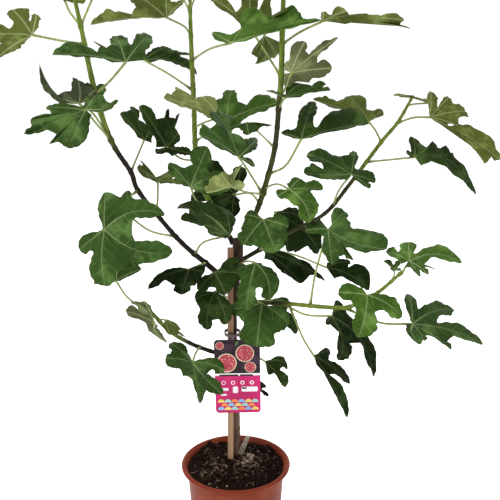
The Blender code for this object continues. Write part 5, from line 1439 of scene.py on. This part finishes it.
for k in range(FIBRES):
    x, y = soil_spot(76)
    if k < FIBRES * 0.35:
        x, y = rng.gauss(24, 15), rng.gauss(-8, 14)
    elif k < FIBRES * 0.6:
        x, y = rng.gauss(-34, 15), rng.gauss(-24, 13)
    heading, curl = rng.uniform(0, 2 * math.pi), rng.uniform(-0.25, 0.25)
    length, lift = rng.uniform(5, 17), rng.uniform(0.6, 3.0)
    path = []
    for i in range(FIBRE_SPANS + 1):
        share = i / FIBRE_SPANS
        path.append((x, y, crumbly_height(x, y) + 0.4 + lift * math.sin(math.pi * share)))
        heading += curl
        x += math.cos(heading) * length / FIBRE_SPANS
        y += math.sin(heading) * length / FIBRE_SPANS
    if max(math.hypot(p[0], p[1]) for p in path) < SOIL_REACH:
        thick = rng.uniform(0.16, 0.40)
        add_tube(litter, path, [thick * s for s in FIBRE_TAPER], 5, [0] * len(path), FIBRE)
finish_piece(mesh_of("soil_crumbs", litter, LITTER_FINISHES), "potting_soil")

# %% [markdown]
# ## The stake
# A sawn stick of light wood, 10 mm square. A cube is scaled to its length, cut across in many
# places so that it can be a little uneven, and its edges are bevelled as if worn. The grain of the
# material runs along it. It is redder towards its top, and darker and stained where it stands in
# the wet soil.

# %% Stake
STAKE_SIDE = 10
STAKE_FOOT = Vector((-9.5, 2, 40))
STAKE_TOP = Vector((-7, 2, 540))
STAKE_PARTS = 50
STAKE_ROUGH = 0.35
STAKE_WEAR = 0.9

length = STAKE_TOP.z - STAKE_FOOT.z
stake = add_box("wooden_stake", (STAKE_SIDE, STAKE_SIDE, length))
cut_across(stake, [(k / STAKE_PARTS - 0.5) * length for k in range(1, STAKE_PARTS)])
for v in stake.data.vertices:
    share = v.co.z / (length * MM) + 0.5
    middle = STAKE_FOOT.lerp(STAKE_TOP, share)
    uneven = STAKE_ROUGH * noise.noise(Vector((v.co.x * 200, v.co.y * 200, share * 14)))
    corner = Vector((v.co.x / MM, v.co.y / MM, 0)) * (1 + 0.1 * uneven - 0.02)
    v.co = (middle + corner) * MM
bevel(stake, "worn edges", STAKE_WEAR, 3)
smooth(stake, 35)

stake_finish, place = new_finish("bare stake wood", 0.25)
grain = speckle(stretched(place, 1, 1, 0.03), 900, 5, 0.6)
figure = speckle(stretched(place, 1, 1, 0.06), 160, 3)
height = axis(place, 2)
body = tint(fade(grain, 0.3, 0.7), (0.288, 0.164, 0.0861), (0.464, 0.296, 0.176))
body = tint(fade(figure, 0.4, 0.7) * 0.45, body, (0.216, 0.117, 0.0615))
body = tint(fade(height, 0.30, 0.46) * 0.55, body, (0.216, 0.101, 0.0738))
body = tint(fade(height + figure * 0.02, 0.178, 0.158) * 0.55, body, (0.128, 0.0741, 0.0451))
paint(stake_finish, Base_Color=body, Roughness=grain * 0.25 + 0.6, Normal=relief(grain, 0.0004))
stake.data.materials.append(stake_finish)
finish_piece(stake, "stake", "stake")

# %% [markdown]
# ## The plant tag
# The tag is a stiff plastic card with round corners, hung by a strap and a loop of the same sheet.
# Its print here is a plain design: a plum field with leaves and halved fruits over a bright pink
# field with simple white shapes, and rows of pastel half rounds. The shapes are thin flat pieces
# that lie on the card, so their edges stay crisp from close by.

# %% Card
TAG_WIDTH = 77
TAG_HEIGHT = 133
TAG_THICKNESS = 0.8
TAG_MIDDLE = Vector((4, -7, 318))
TAG_CORNER = 6
TAG_LEAN = math.radians(1)
LOOP_MIDDLE = Vector((-5, 9, 391))
LOOP_HALF_WIDTH = 13
LOOP_HALF_DEPTH = 15.6
STRAP_WIDTH = 6
PLUM_FROM = 6
STRIP_FROM = 2

tag = add_box("plant_tag_card", (TAG_WIDTH, TAG_THICKNESS, TAG_HEIGHT))
weights = tag.data.attributes.new("bevel_weight_edge", "FLOAT", "EDGE")
for edge in tag.data.edges:
    a, b = (tag.data.vertices[k].co for k in edge.vertices)
    weights.data[edge.index].value = 1.0 if abs(a.y - b.y) > TAG_THICKNESS * MM / 2 else 0.0
bevel(tag, "round corners", TAG_CORNER, 8, "WEIGHT")
cut_across(tag, (PLUM_FROM, STRIP_FROM))

# %% Print colours
# Each ink: its two close tones, and for some the scale of the change between them
INKS = {
    "pink": ((0.56, 0.020, 0.15), (0.44, 0.014, 0.11)),
    "plum": ((0.030, 0.010, 0.022), (0.006, 0.004, 0.007)),
    "black": ((0.012, 0.010, 0.011), (0.020, 0.016, 0.018)),
    "light plum": ((0.055, 0.026, 0.048), (0.022, 0.012, 0.020)),
    "white": ((0.86, 0.84, 0.85), (0.78, 0.76, 0.78)),
    "rose": ((0.50, 0.075, 0.10), (0.32, 0.028, 0.05), 160),
    "cream": ((0.72, 0.62, 0.45), (0.60, 0.50, 0.34), 120),
    "green": ((0.10, 0.22, 0.06), (0.05, 0.13, 0.03), 120),
    "blue": ((0.16, 0.38, 0.72), (0.24, 0.48, 0.75)),
    "yellow": ((0.80, 0.55, 0.10), (0.85, 0.62, 0.18)),
    "orange": ((0.80, 0.20, 0.06), (0.84, 0.26, 0.10)),
    "teal": ((0.25, 0.55, 0.55), (0.32, 0.62, 0.60)),
}


def print_finish(name, colour, shade, scale=30):
    """Glossy ink with a slight change of tone across it."""
    material, place = new_finish(name, 0.08)
    grit = speckle(place, 2200, 2)
    body = tint(fade(speckle(place, scale, 3), 0.3, 0.7), colour, shade)
    paint(material, Base_Color=tint(grit * 0.02, body, (0.9, 0.9, 0.9)), Roughness=grit * 0.12 + 0.22)
    return material


ink_order = list(INKS)
ink_finishes = [print_finish(name + " ink", *tones) for name, tones in INKS.items()]
for material in ink_finishes:
    tag.data.materials.append(material)
for face in tag.data.polygons:
    height = face.center.z / MM
    ink = "plum" if height > PLUM_FROM else "white" if height > STRIP_FROM else "pink"
    face.material_index = ink_order.index("white" if face.normal.y > 0.5 else ink)

# %% Flat shapes on the card
INK_LIFT = 0.06
INK_SINK = 0.02
FRUIT_SEEDS = 14
shapes = []


def add_shape(outline, ink, level=1):
    """A thin flat shape on the card's front, from its outline in card millimetres."""
    shapes.append((outline, ink, level))


def disc(x, z, radius, sides=28, turn=2 * math.pi):
    """Points round a circle, or round the first part of it."""
    steps = sides if turn >= 2 * math.pi else sides + 1
    angles = [turn * k / sides for k in range(steps)]
    return [(x + radius * math.cos(t), z + radius * math.sin(t)) for t in angles]


def pointed_oval(x, z, length, width, angle):
    """A simple leaf outline from its base."""
    points = []
    for side in (1, -1):
        for k in range(12):
            t = k / 12 if side > 0 else 1 - k / 12
            wide = side * width / 2 * math.sin(math.pi * t) ** 0.8
            points.append((x + length * t * math.cos(angle) - wide * math.sin(angle),
                           z + length * t * math.sin(angle) + wide * math.cos(angle)))
    return points


def slab(x, z, width, height):
    """An upright rectangle with cut corners."""
    a, b, c = width / 2, height / 2, min(width, height) * 0.2
    return [(x + a, z - b + c), (x + a, z + b - c), (x + a - c, z + b), (x - a + c, z + b),
            (x - a, z + b - c), (x - a, z - b + c), (x - a + c, z - b), (x + a - c, z - b)]


# The shapes of the print, in millimetres from the card's middle
for x, z, length, width, angle in ((-30, 47, 26, 15, 20), (6, 14, 26, 15, 35), (34, 22, 20, 12, 110)):
    add_shape(pointed_oval(x, z, length, width, math.radians(angle)), "light plum")
for x, z, radius in ((13, 42, 15.5), (-18, 25, 17), (22, 17, 9.5), (-29, 56, 7)):
    add_shape(disc(x, z, radius, 40), "cream", 2)
    add_shape(disc(x, z, radius * 0.90, 40), "rose", 3)
    for k in range(FRUIT_SEEDS):
        spot, turn = radius * (0.45 + 0.13 * (k % 3)), k * 2.4
        seed = disc(x + spot * math.cos(turn), z + spot * math.sin(turn), radius * 0.05, 8)
        add_shape(seed, "cream", 4)
for x, z, angle in ((-3, 55, 60), (-36, 12, 130)):
    add_shape(pointed_oval(x, z, 11, 4.5, math.radians(angle)), "green", 3)
for k in range(4):
    add_shape(disc(-24 + 16 * k, -11, 3.6), "white")
    add_shape(disc(-24 + 16 * k, -11, 2.6 - 0.2 * k), "pink", 2)
for x, z, width, height in ((-22, -23, 12, 5), (-4, -24, 9, 12), (20, -23, 28, 9), (-24, -33, 10, 3)):
    add_shape(slab(x, z, width, height), "white")
for x, z, width, height in ((11, -21, 8, 3), (-15, 2.6, 32, 3), (15, 2.6, 22, 3)):
    add_shape(slab(x, z, width, height), "black", 2)
for x, z, names in ((-29, -61, ("blue", "yellow", "teal", "orange", "blue", "yellow")),
                    (-23.2, -54, ("orange", "blue", "yellow", "teal", "orange")),
                    (-29, -47, ("yellow", "teal", "orange", "blue", "yellow", "teal"))):
    for k, ink in enumerate(names):
        add_shape(disc(x + 11.6 * k, z, 5.8, 18, math.pi), ink)

print_mesh = bmesh.new()
front = -TAG_THICKNESS / 2
for outline, ink, level in shapes:
    lift = front - INK_LIFT * level
    ring = [print_mesh.verts.new((x * MM, lift * MM, z * MM)) for x, z in outline]
    back = [print_mesh.verts.new((x * MM, (front + INK_SINK) * MM, z * MM)) for x, z in outline]
    made = [print_mesh.faces.new(ring), print_mesh.faces.new(back[::-1])]
    for k in range(len(ring)):
        n = (k + 1) % len(ring)
        made.append(print_mesh.faces.new((ring[n], ring[k], back[k], back[n])))
    for face in made:
        face.material_index = ink_order.index(ink)
print_data = bpy.data.meshes.new("print")
print_mesh.to_mesh(print_data)
print_mesh.free()
prints = put("print", print_data)
for material in ink_finishes:
    print_data.materials.append(material)
for piece in (tag, prints):
    piece.rotation_euler = (0, -TAG_LEAN, 0)
    piece.location = TAG_MIDDLE * MM
    bpy.context.view_layer.objects.active = piece
    piece.select_set(True)
    bpy.ops.object.transform_apply(location=True, rotation=True)
    piece.select_set(False)
join(tag, prints)
tag.select_set(False)

# %% Strap and loop
strap_finish = print_finish("smoky tag strap", (0.16, 0.12, 0.12), (0.07, 0.05, 0.05))
front = LOOP_MIDDLE.y - LOOP_HALF_DEPTH - TAG_THICKNESS
low, high = TAG_MIDDLE.z + TAG_HEIGHT / 2 - 8, LOOP_MIDDLE.z + STRAP_WIDTH / 2 - 1
strap = add_box("tag_strap", (STRAP_WIDTH, TAG_THICKNESS - 0.1, high - low),
                (LOOP_MIDDLE.x + 1, front + TAG_THICKNESS / 2, (low + high) / 2))
bpy.ops.mesh.primitive_cylinder_add(vertices=72, radius=1, depth=STRAP_WIDTH * MM,
                                    end_fill_type="NOTHING", location=LOOP_MIDDLE * MM)
loop = bpy.context.active_object
loop.scale = (LOOP_HALF_WIDTH * MM, LOOP_HALF_DEPTH * MM, 1)
bpy.ops.object.transform_apply(location=True, scale=True)
wall = loop.modifiers.new("wall", "SOLIDIFY")
wall.thickness = TAG_THICKNESS * MM
wall.offset = 1
apply_modifier(loop, wall)
join(strap, loop)
bevel(strap, "soft edges", 0.15, 2)
strap.data.materials.clear()
strap.data.materials.append(strap_finish)
smooth(strap, 35)
finish_piece(tag, "plant_tag", "plant_tag")
finish_piece(strap, "plant_tag")

# %% [markdown]
# ## The triangle count
# The dressed tree has to fill the same box as its construction model. Last, the script prints how
# many triangles its pieces have in all.

# %% Finish
print("triangles in all:", sum(triangle_counts.values()))
